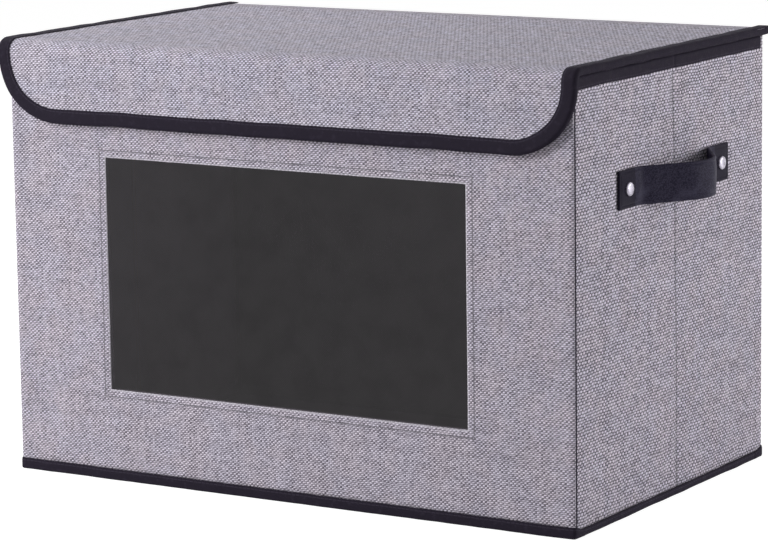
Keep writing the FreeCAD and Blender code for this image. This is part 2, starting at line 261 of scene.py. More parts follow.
def banded(line: np.ndarray, thickness: float, crown: float = 0.0) -> np.ndarray:
    """Closed outline of a band: the line moved to each side by half the band's thickness.

    Half the thickness is t (1 - 0.75 s^16) / 2 + c (1 - s^2), with thickness t, crown c and s
    from -1 to 1 along the line, so that the band thins quickly at its two cut ends.

    Args:
        line: Middle line of the band's section.
        thickness: Thickness of the band.
        crown: Extra half thickness in the middle of the band.

    Returns:
        Points round the band, out along one face and back along the other.
    """
    place = 2 * lengths(line) / lengths(line)[-1] - 1
    half = 0.5 * thickness * (1 - 0.75 * place ** 16) + crown * (1 - place ** 2)
    offset = normals_of(line) * half[:, None]
    return np.concatenate([line + offset, (line - offset)[::-1]])


# Meshes


@dataclass
class Patch:
    """A grid of surface points, with each point's place on the flat cloth.

    Attributes:
        points: Rows by columns by three, in metres.
        flat: Rows by columns by two, in metres, with one more column than the points when the
            grid is closed.
        closed: Whether the last column joins the first.
        left_out: Rows by columns of faces that are holes, one less than the points each way.
    """

    points: np.ndarray
    flat: np.ndarray
    closed: bool = False
    left_out: Optional[np.ndarray] = None

    def corners(self) -> Tuple[np.ndarray, np.ndarray]:
        """Corner numbers of each face, in the points and in the flat places.

        A face joins a point to its next column, the next row and back.

        Returns:
            Two arrays of four numbers a face.
        """
        rows, columns = self.points.shape[:2]
        last = columns if self.closed else columns - 1
        row, column = np.meshgrid(np.arange(rows - 1), np.arange(last), indexing="ij")
        if self.left_out is not None:
            row, column = row[~self.left_out], column[~self.left_out]
        found = []
        for width, right in ((columns, (column + 1) % columns),
                             (self.flat.shape[1], column + 1)):
            low, high = row * width, (row + 1) * width
            found.append(placed(low + column, low + right, high + right,
                                high + column).reshape(-1, 4))
        return found[0], found[1]


def show(holder: bpy.types.Object) -> bpy.types.Object:
    """Links a new object to the scene and returns it."""
    bpy.context.scene.collection.objects.link(holder)
    return holder


def make_piece(name: str, patches: Sequence[Patch], finish: "Finish",
               facing: Optional[Sequence[float]] = None, thickness: float = 0.0,
               crease: float = 50.0) -> bpy.types.Object:
    """A mesh object from patches, with its faces turned outwards and its flat map.

    Args:
        name: Name of the piece.
        patches: Patches that meet edge to edge. Their common points are merged.
        finish: Its finish.
        facing: Rough direction of the outer face of an open sheet. None for a closed solid.
        thickness: Thickness of an open sheet, which it gets on its inner side.
        crease: Angle in degrees past which an edge stays sharp.

    Returns:
        The new object, at the origin and unscaled.
    """
    points, faces, places = [], [], []
    first = 0
    for patch in patches:
        mesh_corners, flat_corners = patch.corners()
        points.append(patch.points.reshape(-1, 3))
        faces.append(mesh_corners + first)
        places.append(patch.flat.reshape(-1, 2)[flat_corners])
        first += len(points[-1])
    vertices, quads, flat = (np.concatenate(part) for part in (points, faces, places))
    if facing is not None:
        diagonal = vertices[quads[:, 2]] - vertices[quads[:, 0]]
        other = vertices[quads[:, 3]] - vertices[quads[:, 1]]
        if np.cross(diagonal, other).sum(axis=0) @ np.array(facing, float) < 0:
            quads, flat = quads[:, ::-1], flat[:, ::-1]
    mesh = bpy.data.meshes.new(name)
    mesh.from_pydata(vertices.tolist(), [], quads.tolist())
    layer = mesh.uv_layers.new(name=FLAT)
    layer.data.foreach_set("uv", flat.astype(np.float32).ravel())
    tidy_mesh(mesh, closed=facing is None)
    mesh.materials.append(finish.material())
    mesh.shade_smooth()
    mesh.set_sharp_from_angle(angle=math.radians(crease))
    piece = show(bpy.data.objects.new(name, mesh))
    if thickness:
        solid = piece.modifiers.new("Thickness", "SOLIDIFY")
        solid.thickness = thickness
        solid.offset = -1
        solid.use_even_offset = True
    log.info("%s: %d faces", name, len(mesh.polygons))
    return piece


def tidy_mesh(mesh: bpy.types.Mesh, closed: bool) -> None:
    """Merges points that lie on each other and, on a closed solid, turns the faces outwards.

    Args:
        mesh: Mesh to tidy.
        closed: Whether the mesh encloses a volume.
    """
    work = bmesh.new()
    work.from_mesh(mesh)
    bmesh.ops.remove_doubles(work, verts=work.verts, dist=1e-6)
    bmesh.ops.dissolve_degenerate(work, edges=work.edges, dist=1e-7)
    if closed:
        bmesh.ops.recalc_face_normals(work, faces=work.faces)
    work.to_mesh(mesh)
    work.free()


def swept(origins: np.ndarray, across: Directions, outward: Directions,
          section: np.ndarray) -> List[Patch]:
    """A closed section carried along a path: origin + a across + b outward for each (a, b).

    Args:
        origins: Points of the path.
        across: Direction of the section's first axis, one for the path or one at each point.
        outward: Direction of its second axis, in the same way.
        section: Closed outline from banded(), whose second half runs back beside the first.

    Returns:
        The wall of the sweep and a cap on each end.
    """
    first, second = (np.broadcast_to(axis, origins.shape)[:, None, :] for axis in (across, outward))
    points = origins[:, None, :] + section[:, :1] * first + section[:, 1:] * second
    flat = placed(lengths(origins)[:, None], girths(section))
    half = len(section) // 2
    caps = [Patch(np.stack([points[row, :half], points[row, half:][::-1]]),
                  np.stack([flat[row, :half], flat[row, half:2 * half][::-1]]))
            for row in (0, -1)]
    return [Patch(points, flat, closed=True), *caps]


def lathed(section: np.ndarray, centre: Sequence[float], axis: float, count: int = 40) -> Patch:
    """A section turned round a line along X: (x, r) goes to (x, r cos a, r sin a).

    Args:
        section: Distance along X and radius of each point of the outline.
        centre: Point on the line, from which X is measured.
        axis: 1 where X is measured outwards to the right, -1 to the left.
        count: How many steps the turn has.

    Returns:
        One closed patch.
    """
    angle = np.linspace(0, 2 * math.pi, count, endpoint=False)
    points = placed(centre[0] + axis * section[:, :1],
                    centre[1] + section[:, 1:] * np.cos(angle),
                    centre[2] + section[:, 1:] * np.sin(angle))
    turn = np.linspace(0, 2 * math.pi, count + 1) * section[:, 1].max()
    return Patch(points, placed(turn, lengths(section)[:, None]), closed=True)


# Shader trees


@dataclass(frozen=True)
class Signal:
    """A value in a shader tree. It is reckoned with as a number is: each sign adds a node."""

    graph: "Graph"
    socket: bpy.types.NodeSocket

    def __getitem__(self, name: str) -> "Signal":
        """Another output of the node that the value comes from."""
        return Signal(self.graph, self.socket.node.outputs[name])

    def __add__(self, other: Value) -> "Signal":
        """The sum of the value and another."""
        return self.graph.math("ADD", self, other)

    def __sub__(self, other: Value) -> "Signal":
        """The value less another."""
        return self.graph.math("SUBTRACT", self, other)

    def __rsub__(self, other: float) -> "Signal":
        """A number less the value."""
        return self.graph.math("SUBTRACT", other, self)

    def __mul__(self, other: Value) -> "Signal":
        """The product of the value and another."""
        return self.graph.math("MULTIPLY", self, other)

    def __truediv__(self, other: Value) -> "Signal":
        """The value divided by another."""
        return self.graph.math("DIVIDE", self, other)

    def __rtruediv__(self, other: float) -> "Signal":
        """A number divided by the value."""
        return self.graph.math("DIVIDE", other, self)

    def __abs__(self) -> "Signal":
        """The value without its sign."""
        return self.graph.math("ABSOLUTE", self)


class Graph:
    """Adds nodes to one shader tree and joins them."""

    def __init__(self, tree: bpy.types.ShaderNodeTree) -> None:
        """Works on the given tree."""
        self.tree = tree

    def add(self, kind: str, inputs: Inputs, **settings: object) -> bpy.types.Node:
        """Adds a node. Each input is linked to its signal, or holds its own value.

        Args:
            kind: Blender's name of the node type.
            inputs: What feeds each input, by its name or number.
            **settings: Attributes of the node, such as its operation.

        Returns:
            The node.
        """
        node = self.tree.nodes.new(kind)
        for name, setting in settings.items():
            setattr(node, name, setting)
        for name, value in inputs.items():
            if isinstance(value, Signal):
                self.tree.links.new(value.socket, node.inputs[name])
            else:
                node.inputs[name].default_value = value
        return node

    def value(self, kind: str, inputs: Inputs, output: Union[int, str] = 0,
              **settings: object) -> Signal:
        """One output of a new node, by its name or number."""
        return Signal(self, self.add(kind, inputs, **settings).outputs[output])

    def math(self, operation: str, *values: Value) -> Signal:
        """The result of a Math node on one to three values."""
        return self.value("ShaderNodeMath", dict(enumerate(values)), operation=operation)

    def held(self, value: Value, low: float, high: float) -> Signal:
        """The value, no lower than low and no higher than high."""
        return self.math("MINIMUM", self.math("MAXIMUM", value, low), high)

    def mix(self, factor: Value, first: Value, second: Value) -> Signal:
        """A number between two numbers, first where the factor is 0."""
        return self.value("ShaderNodeMix", {0: factor, 2: first, 3: second}, data_type="FLOAT")

    def tint(self, factor: Value, first: Value, second: Value, blend: str = "MIX") -> Signal:
        """A colour between two colours, or the second laid over the first by a blend type."""
        return self.value("ShaderNodeMix", {0: factor, 6: first, 7: second}, 2,
                          data_type="RGBA", blend_type=blend)

    def step(self, value: Value, low: float, high: float, first: float = 0.0,
             last: float = 1.0) -> Signal:
        """A smooth step of a value, first below low and last above high."""
        return self.value("ShaderNodeMapRange", dict(enumerate((value, low, high, first, last))),
                          interpolation_type="SMOOTHSTEP")

    def noise(self, vector: Value, scale: Value, detail: float = 2.0, solid: bool = False,
              output: str = "Fac") -> Signal:
        """Noise over the first two coordinates of a vector, or over all three where solid."""
        return self.value("ShaderNodeTexNoise", {"Vector": vector, "Scale": scale, "Detail": detail},
                          output, noise_dimensions="3D" if solid else "2D")

    def parts(self, vector: Value) -> Tuple[Signal, Signal]:
        """The first and the second coordinate of a vector."""
        first = self.value("ShaderNodeSeparateXYZ", {"Vector": vector}, "X")
        return first, first["Y"]

    def vector(self, first: Value, second: Value) -> Signal:
        """A vector with the given first two coordinates."""
        return self.value("ShaderNodeCombineXYZ", {"X": first, "Y": second})

    def scaled(self, vector: Value, scale: Point) -> Signal:
        """A vector with each of its coordinates scaled."""
        return self.value("ShaderNodeMapping", {"Vector": vector, "Scale": scale})

    def looked_at(self) -> Signal:
        """1 for what the camera sees, also in metal and through glass.

        Returns:
            The value.
        """
        camera = self.value("ShaderNodeLightPath", {}, "Is Camera Ray")
        mirror = self.math("MAXIMUM", camera["Is Glossy Ray"], camera["Is Transmission Ray"])
        return self.math("MAXIMUM", camera, mirror)


def emptied(owner: Union[bpy.types.Material, bpy.types.World]) -> Graph:
    """Gives a new material or world a shader tree without nodes.

    Args:
        owner: The material or world.

    Returns:
        What adds nodes to its tree.
    """
    owner.use_nodes = True
    owner.node_tree.nodes.clear()
    return Graph(owner.node_tree)


class Effect:
    """A node group that several finishes use. It is built once and placed in each."""

    title = ""
    inputs: Dict[str, Union[float, Point]] = {}
    outputs: Tuple[str, ...] = ()

    def build(self, graph: Graph, given: Signal) -> Dict[str, Signal]:
        """Makes the group's nodes from its inputs and returns what feeds each output."""
        raise NotImplementedError

    def tree(self) -> bpy.types.ShaderNodeTree:
        """The group's tree, made at its first use.

        Returns:
            The tree.
        """
        made = bpy.data.node_groups.get(self.title)
        if made:
            return made
        tree = bpy.data.node_groups.new(self.title, "ShaderNodeTree")
        for name, value in self.inputs.items():
            kind = "NodeSocketFloat" if isinstance(value, float) else "NodeSocketVector"
            socket = tree.interface.new_socket(name, in_out="INPUT", socket_type=kind)
            socket.default_value = value
        for name in self.outputs:
            tree.interface.new_socket(name, in_out="OUTPUT", socket_type="NodeSocketFloat")
        graph = Graph(tree)
        graph.add("NodeGroupOutput", self.build(graph, graph.value("NodeGroupInput", {})))
        return tree

    def place(self, graph: Graph, **values: Value) -> Signal:
        """Puts the group in a tree.

        Args:
            graph: The tree that gets the group.
            **values: What feeds each input, with underscores for the spaces in its name.

        Returns:
            The first output of the group's node, from which the others are asked by name.
        """
        named = {name.replace("_", " "): value for name, value in values.items()}
        return graph.value("ShaderNodeGroup", named, node_tree=self.tree())


ORIGIN = (0.0, 0.0, 0.0)


class Weave(Effect):
    """Plain weave: warp and weft yarns that pass over each other in turn."""

    title = "Plain weave"
    inputs = {"Flat": ORIGIN, "Warp Pitch": 0.0013, "Weft Pitch": 0.0013, "Wander": 0.5,
              "Slant": 0.1}
    outputs = ("Height", "Tone", "Figure")

    def build(self, graph: Graph, given: Signal) -> Dict[str, Signal]:
        """Counts yarns both ways, and rounds the one that lies on top in each crossing.

        With u warp yarns and v weft yarns counted, the weft lies on top where the whole counts
        add up to an even number. Across itself a yarn's height is the root of 1 - t^2, and
        along itself it dips by 0.45 t^2 towards the crossings where it goes under. Tone is a
        chance value for each yarn, mixed with long streaks along it. Figure is the drawing of
        the cloth about zero: 0.18 up or down by which yarn is on top, s cos(pi (u - v)) for
        the slant s of its floats, -0.23 cos(2 pi v) for its rows, and up to 0.15 of chance for
        each crossing.

        Args:
            graph: The group's tree.
            given: The group's inputs.

        Returns:
            What feeds each output of the group.
        """
        drift = graph.parts(graph.noise(given["Flat"], 75.0, 3.0, output="Color"))
        place = graph.parts(given["Flat"])
        yarns = [place[axis] / given[pitch] + (drift[axis] - 0.5) * given["Wander"]
                 for axis, pitch in enumerate(("Warp Pitch", "Weft Pitch"))]
        counts = [graph.math("FLOOR", yarn) for yarn in yarns]
        offsets = [(yarn - count) * 2.0 - 1.0 for yarn, count in zip(yarns, counts)]
        square = [offset * offset for offset in offsets]
        odd = graph.math("FLOORED_MODULO", counts[0] + counts[1], 2.0)
        heights, tones = [], []
        for own, other, seed in ((0, 1, 0.31), (1, 0, 57.7)):
            heights.append(graph.math("SQRT", 1.0 - square[own]) * (1.0 - square[other] * 0.45))
            chance = graph.value("ShaderNodeTexWhiteNoise", {"W": counts[own] + seed}, "Value",
                                 noise_dimensions="1D")
            along = graph.vector(counts[own] * 3.17, yarns[other] * 0.11 + seed)
            tones.append(graph.mix(0.62, chance, graph.noise(along, 1.0, 1.0)))
        slant = graph.math("COSINE", (yarns[0] - yarns[1]) * math.pi)
        rows = graph.math("COSINE", yarns[1] * (2 * math.pi))
        crossing = graph.value("ShaderNodeTexWhiteNoise", {"Vector": graph.vector(*counts)},
                               "Value", noise_dimensions="2D")
        figure = (0.18 - odd * 0.36 + slant * given["Slant"] - rows * 0.23
                  + (crossing - 0.5) * 0.3)
        return {"Height": graph.mix(odd, heights[1], heights[0]),
                "Tone": graph.mix(odd, tones[1], tones[0]), "Figure": figure}


class Mottle(Effect):
    """Cloudy change of shade and of tint over a large piece of cloth."""

    title = "Mottle"
    inputs = {"Flat": ORIGIN}
    outputs = ("Cloud", "Tint")

    def build(self, graph: Graph, given: Signal) -> Dict[str, Signal]:
        """Mixes short streaks along both yarn directions, and adds a wide soft noise.

        Args:
            graph: The group's tree.
            given: The group's inputs.

        Returns:
            What feeds each output of the group.
        """
        streaks = [graph.noise(graph.scaled(given["Flat"], scale), 160.0)
                   for scale in ((1.0, 0.16, 1.0), (0.16, 1.0, 1.0))]
        cloud = graph.mix(0.3, graph.mix(0.5, *streaks), graph.noise(given["Flat"], 22.0))
        shifted = graph.value("ShaderNodeMapping", {"Vector": given["Flat"],
                                                    "Location": (3.7, 1.9, 0.0)})
        return {"Cloud": cloud, "Tint": graph.noise(shifted, 45.0, 3.0)}


class StitchLine(Effect):
    """A straight row of stitches: rounded dashes of thread, each sunk at its ends."""

    title = "Stitch line"
    inputs = {"Along": 0.0, "Off Line": 0.0, "Pitch": 0.003, "Thread": 0.0004}
    outputs = ("Mask", "Height")

    def build(self, graph: Graph, given: Signal) -> Dict[str, Signal]:
        """A dash is 1 - (off / thread)^2 across and 1 - t^4 along its pitch, both held at 0.

        Args:
            graph: The group's tree.
            given: The group's inputs.

        Returns:
            What feeds each output of the group.
        """
        turn = graph.math("FRACT", given["Along"] / given["Pitch"])
        fourth = graph.math("POWER", abs(turn * 2.3 - 1.15), 4.0)
        off = given["Off Line"] / given["Thread"]
        height = (graph.math("MAXIMUM", 1.0 - fourth, 0.0)
                  * graph.math("MAXIMUM", 1.0 - off * off, 0.0))
        return {"Mask": graph.step(height, 0.02, 0.35), "Height": height}


class Grain(Effect):
    """Pebbled grain with fine pores, as on leathercloth, card and worn metal."""

    title = "Pebbled grain"
    inputs = {"Place": ORIGIN, "Cell": 0.0008}
    outputs = ("Height", "Wear")

    def build(self, graph: Graph, given: Signal) -> Dict[str, Signal]:
        """Smooth cells of the given size, with finer noise on top and a wide noise for wear.

        Args:
            graph: The group's tree.
            given: The group's inputs.

        Returns:
            What feeds each output of the group.
        """
        scale = 1.0 / given["Cell"]
        cells = graph.value("ShaderNodeTexVoronoi", {"Vector": given["Place"], "Scale": scale,
                                                     "Smoothness": 0.6},
                            "Distance", feature="SMOOTH_F1")
        pores = graph.noise(given["Place"], scale * 2.7, solid=True)
        return {"Height": graph.mix(0.3, 1.0 - cells, pores),
                "Wear": graph.noise(given["Place"], scale * 0.04, 4.0, solid=True)}


# Finishes


class Finish:
    """A procedural material, made once."""

    def material(self) -> bpy.types.Material:
        """The finish's material, made at its first use.

        Returns:
            The material.
        """
        made = bpy.data.materials.get(self.title)
        if made:
            return made
        material = bpy.data.materials.new(self.title)
        graph = emptied(material)
        graph.add("ShaderNodeOutputMaterial", {"Surface": self.shader(graph)})
        return material

    def shader(self, graph: Graph) -> Signal:
        """Makes the nodes of the material and returns its shader."""
        raise NotImplementedError

    @staticmethod
    def flat(graph: Graph) -> Signal:
        """Place on the flat cloth, in metres."""
        return graph.value("ShaderNodeUVMap", {}, "UV", uv_map=FLAT)

    @staticmethod
    def place(graph: Graph) -> Signal:
        """Place on the object, in metres."""
        return graph.value("ShaderNodeTexCoord", {}, "Object")

    @staticmethod
    def bump(graph: Graph, height: Signal, distance: float, strength: float) -> Signal:
        """Normal of a bump of the given height in metres."""
        return graph.value("ShaderNodeBump", {"Height": height, "Distance": distance,
                                              "Strength": strength}, "Normal")


@dataclass(frozen=True)
class Hem:
    """The turned edge of a window in cloth, on the flat cloth.

    Attributes:
        centre: Middle of the window.
        half_width: Half of its width.
        half_height: Half of its height.
        fold: Width of the fold along the edge, which gets a painted highlight.
        stitch_off: Distance from the edge to the row of stitches.
        pale: Colour of the painted highlight on the fold.
        thread: Colour of the stitches.
    """

    centre: Tuple[float, float]
    half_width: float
    half_height: float
    fold: float = 1.2 * MM
    stitch_off: float = 4.6 * MM
    # Colour of the painted highlight on the fold.
    pale: Colour = srgb(214, 210, 219)
    thread: Colour = srgb(150, 146, 156)

    def distances(self, graph: Graph, flat: Signal) -> Tuple[Signal, Signal]:
        """Distance outside the window's edge, and a place along the nearest edge.

        Args:
            graph: The tree that gets the nodes.
            flat: Place on the flat cloth.

        Returns:
            The distance and the place along, in metres.
        """
        x, y = graph.parts(flat)
        off_x = abs(x - self.centre[0]) - self.half_width
        off_y = abs(y - self.centre[1]) - self.half_height
        beside = graph.math("GREATER_THAN", off_x, off_y)
        return graph.math("MAXIMUM", off_x, off_y), graph.mix(beside, x, y)


@dataclass(frozen=True)
class Crease:
    """Painted shade along a fold pressed across cloth from its foot to its top.

    Attributes:
        foot: First flat coordinate of the fold where the second is 0.
        lean: How far the first coordinate moves for each metre up.
        core: Half width of the darkest part of the painted shade.
        reach: Distance to both sides at which the painted shade ends.
    """

    foot: float
    lean: float
    core: float = 0.2 * MM
    reach: float = 1.3 * MM

    def depth(self, graph: Graph, flat: Signal) -> Signal:
        """1 in the fold, where the painted shade is darkest, falling to 0 at its reach to both
        sides.
        """
        x, y = graph.parts(flat)
        return graph.step(abs(x - (y * self.lean + self.foot)), self.core, self.reach, 1.0, 0.0)


@dataclass(frozen=True)
class Pressed:
    """Part of a cloth that lies flat, where its yarns show as fine slanting ribs.

    Attributes:
        low: Second flat coordinate where the part starts.
        high: Second flat coordinate where it ends.
        fade: Distance over which it comes in and goes out, to both sides.
        ribs: Ribs in a metre along each flat coordinate.
        depth: How much a rib changes the share of pale yarn.
        slubs: How much thick and thin yarn changes it.
    """

    low: float
    high: float
    fade: float = 4.0 * MM
    ribs: Tuple[float, float] = (388.0, 222.0)
    depth: float = 0.14
    slubs: float = 1.2

    def share(self, graph: Graph, flat: Signal) -> Signal:
        """Change of the share of pale yarn: a sine for the ribs, and stretched noise.

        Args:
            graph: The tree that gets the nodes.
            flat: Place on the flat cloth.

        Returns:
            The change, 0 outside the part.
        """
        x, y = graph.parts(flat)
        inside = (graph.step(y, self.low - self.fade, self.low + self.fade)
                  * graph.step(y, self.high - self.fade, self.high + self.fade, 1.0, 0.0))
        turn = x * (2 * math.pi * self.ribs[0]) + y * (2 * math.pi * self.ribs[1])
        slub = graph.noise(graph.scaled(flat, (1.0, 0.2, 1.0)), 620.0) - 0.5
        return (slub * self.slubs + graph.math("SINE", turn) * self.depth) * inside


@dataclass(frozen=True)
class Linen(Finish):
    """Grey linen-look cloth of pale and dark yarns, with painted shade between them, hemmed, creased
    or pressed as asked.
    """

    title: str
    warp_pitch: float
    weft_pitch: float
    slant: float = 0.1
    pale: Colour = srgb(240, 234, 246)
    dark: Colour = srgb(60, 54, 67)
    warm: Colour = srgb(254, 250, 252)
    cool: Colour = srgb(251, 250, 255)
    contrast: float = 1.0
    uneven: float = 0.3
    cloud: float = 0.2
    wander: float = 1.1
    hem: Optional[Hem] = None
    crease: Optional[Crease] = None
    pressed: Optional[Pressed] = None

    def shader(self, graph: Graph) -> Signal:
        """Mixes dark and pale yarn by the weave's figure, its yarns' tones and the mottle, then
        paints shade and highlight.

        Args:
            graph: The material's tree.

        Returns:
            The material's shader.
        """
        flat = self.flat(graph)
        weave = Weave().place(graph, Flat=flat, Warp_Pitch=self.warp_pitch,
                              Weft_Pitch=self.weft_pitch, Wander=self.wander, Slant=self.slant)
        mottle = Mottle().place(graph, Flat=flat)
        share = (weave["Figure"] * self.contrast + 0.5 + (weave["Tone"] - 0.5) * self.uneven
                 + (mottle["Cloud"] - 0.5) * self.cloud)
        if self.pressed:
            share = share + self.pressed.share(graph, flat)
        yarn = graph.tint(graph.held(share, 0.0, 1.0), self.dark, self.pale)
        tint = graph.tint(graph.step(mottle["Tint"], 0.35, 0.65), self.cool, self.warm)
        colour = graph.tint(1.0, yarn, tint, "MULTIPLY")
        height = weave["Height"]
        # Painted shade between the yarns: the colour is darker where the weave is low.
        gap = graph.step(height, 0.0, 0.55, 0.6, 1.0)
        # Painted shade in the crease: the colour falls to half in the fold.
        if self.crease:
            gap = gap * graph.mix(self.crease.depth(graph, flat), 1.0, 0.5)
        if self.hem:
            distance, along = self.hem.distances(graph, flat)
            # Painted highlight on the hem's rounded fold, where the painted yarn shade is left out.
            fold = graph.step(distance, self.hem.fold * 0.75, self.hem.fold, 1.0, 0.0)
            off = distance - self.hem.stitch_off
            stitch = StitchLine().place(graph, Along=along, Off_Line=off, Pitch=2.6 * MM,
                                        Thread=0.45 * MM)
            colour = graph.tint(stitch["Mask"], graph.tint(fold * 0.55, colour, self.hem.pale),
                                self.hem.thread)
            # Painted shade in the trench along the row of stitches.
            trench = graph.step(abs(off), 0.1 * MM, 0.9 * MM)
            gap = graph.mix(fold, gap, 1.0) * graph.mix(trench, 0.75, 1.0)
            height = height + stitch["Height"]
        # The painted shade multiplies the base colour.
        return graph.value("ShaderNodeBsdfPrincipled", {
            "Base Color": graph.tint(1.0, colour, gap, "MULTIPLY"),
            "Roughness": 0.92 - weave["Height"] * 0.12,
            "Sheen Weight": 0.08, "Specular IOR Level": 0.25,
            "Normal": self.bump(graph, height, 0.35 * MM, 0.7)})


@dataclass(frozen=True)
class Tape(Finish):
    """Black woven binding tape: fine ribs across it and a row of stitches beside its edge."""

    title: str = "Black binding tape"
    thread: Colour = srgb(43, 38, 50)
    hollow: Colour = srgb(20, 17, 24)
    worn: Colour = srgb(56, 51, 63)
    rib: float = 0.62 * MM
    pick: float = 0.42 * MM
    stitch_off: float = 1.5 * MM

    def shader(self, graph: Graph) -> Signal:
        """Ribs from the weave with painted shade in their hollows, dashes of thread at stitch_off
        from the edge, and dusty wear.

        Args:
            graph: The material's tree.

        Returns:
            The material's shader.
        """
        flat = self.flat(graph)
        weave = Weave().place(graph, Flat=flat, Warp_Pitch=self.rib, Weft_Pitch=self.pick,
                              Wander=0.6)
        along, from_edge = graph.parts(flat)
        off = from_edge - self.stitch_off
        stitch = StitchLine().place(graph, Along=along, Off_Line=off, Pitch=3.0 * MM,
                                    Thread=0.36 * MM)
        dust = graph.noise(flat, 240.0, 4.0)
        # Painted shade: the weave's hollows get the darker colour.
        base = graph.tint(graph.step(weave["Height"], 0.1, 0.8), self.hollow, self.thread)
        dusty = graph.tint(graph.step(dust, 0.5, 0.8, 0.0, 0.6), base, self.worn)
        trench = graph.step(abs(off), 0.1 * MM, 0.8 * MM)
        height = weave["Height"] * 0.35 + trench + stitch["Height"]
        return graph.value("ShaderNodeBsdfPrincipled", {
            "Base Color": graph.tint(stitch["Mask"], dusty, self.worn),
            "Roughness": graph.step(dust, 0.3, 0.7, 0.62, 0.8), "Specular IOR Level": 0.05,
            "Normal": self.bump(graph, height, 0.3 * MM, 0.5)})


@dataclass(frozen=True)
class Leathercloth(Finish):
    """Black leathercloth of the handle straps, with a light grain."""

    title: str = "Black leathercloth"
    skin: Colour = srgb(62, 59, 75)
    pore: Colour = srgb(40, 37, 52)
    rubbed: Colour = srgb(82, 79, 97)
    stamped: Colour = srgb(32, 28, 40)
    stamped_from: float = 52.0 * MM

    def shader(self, graph: Graph) -> Signal:
        """Grain in the colour and the bump, paler clouds of rubbed wear and painted sheen, and
        darker stamped tabs.

        Args:
            graph: The material's tree.

        Returns:
            The material's shader.
        """
        grain = Grain().place(graph, Place=self.flat(graph), Cell=0.75 * MM)
        base = graph.tint(graph.step(grain["Height"], 0.35, 0.7), self.pore, self.skin)
        # Paler clouds, partly rubbed wear and partly painted sheen standing in for highlights.
        rubbed = graph.tint(graph.step(grain["Wear"], 0.52, 0.75, 0.0, 0.5), base, self.rubbed)
        along = graph.parts(self.place(graph))[1]
        tab = graph.step(abs(along), self.stamped_from, self.stamped_from + 1.2 * MM, 0.0, 0.75)
        return graph.value("ShaderNodeBsdfPrincipled", {
            "Base Color": graph.tint(tab, rubbed, self.stamped),
            "Roughness": graph.step(grain["Wear"], 0.3, 0.7, 0.5, 0.36),
            "Specular IOR Level": 0.03,
            "Normal": self.bump(graph, grain["Height"] - tab * 3.0, 0.12 * MM, 0.35)})


@dataclass(frozen=True)
class Fleece(Finish):
    """Bonded lining: pressed fibres with a grid of small embossed dots."""

    title: str
    fibre: Colour = srgb(98, 94, 98)
    pressed: Colour = srgb(82, 78, 82)
    dot_pitch: float = 1.7 * MM

    def shader(self, graph: Graph) -> Signal:
        """Dots where both of two crossed waves are high, over fibre noise.

        Args:
            graph: The material's tree.

        Returns:
            The material's shader.
        """
        flat = self.flat(graph)
        x, y = graph.parts(flat)
        waves = [graph.math("SINE", sloped * (math.pi / self.dot_pitch))
                 for sloped in (x + y, x - y)]
        dots = graph.step(abs(waves[0] * waves[1]), 0.55, 0.8)
        fibres = graph.noise(flat, 1300.0, 3.0)
        share = (graph.mix(dots, 1.0, 0.3)
                 * graph.mix(0.5, fibres, graph.noise(flat, 40.0, 3.0)))
        return graph.value("ShaderNodeBsdfPrincipled", {
            "Base Color": graph.tint(graph.step(share, 0.1, 0.65), self.pressed, self.fibre),
            "Roughness": graph.mix(dots, 0.95, 0.7), "Specular IOR Level": 0.2,
            "Normal": self.bump(graph, graph.mix(dots, fibres, 0.0), 0.12 * MM, 0.5)})


@dataclass(frozen=True)
class Card(Finish):
    """Grey board inside the panels."""

    title: str = "Grey board"
    pulp: Colour = srgb(158, 146, 130)
    fleck: Colour = srgb(112, 102, 90)

    def shader(self, graph: Graph) -> Signal:
        """Pulp with stretched flecks, rough all over.

        Args:
            graph: The material's tree.

        Returns:
            The material's shader.
        """
        place = self.place(graph)
        flecks = graph.noise(graph.scaled(place, (1.0, 1.0, 0.25)), 420.0, 4.0, solid=True)
        grain = Grain().place(graph, Place=place, Cell=1.4 * MM)
        return graph.value("ShaderNodeBsdfPrincipled", {
            "Base Color": graph.tint(graph.step(flecks, 0.4, 0.72), self.pulp, self.fleck),
            "Roughness": graph.step(flecks, 0.2, 0.8, 0.85, 0.95), "Specular IOR Level": 0.2,
            "Normal": self.bump(graph, grain["Height"], 0.08 * MM, 0.4)})


@dataclass(frozen=True)
class Nickel(Finish):
    """Bright plated metal of the rivets, or duller metal of their washers."""

    title: str
    plate: Colour = srgb(192, 187, 200)
    tarnish: Colour = srgb(104, 99, 112)
    polish: float = 0.24

    def shader(self, graph: Graph) -> Signal:
        """Metal with fine scratches in its roughness and a little tarnish.

        Args:
            graph: The material's tree.

        Returns:
            The material's shader.
        """
        place = self.place(graph)
        grain = Grain().place(graph, Place=place, Cell=0.35 * MM)
        scratches = graph.noise(graph.scaled(place, (1.0, 0.12, 1.0)), 2600.0, 3.0, solid=True)
        tarnish = graph.step(grain["Wear"], 0.45, 0.7, 0.0, 0.8)
        return graph.value("ShaderNodeBsdfPrincipled", {
            "Base Color": graph.tint(tarnish, self.plate, self.tarnish), "Metallic": 1.0,
            "Roughness": graph.step(scratches, 0.35, 0.75, self.polish, self.polish + 0.16),
            "Normal": self.bump(graph, grain["Height"], 0.01 * MM, 0.2)})


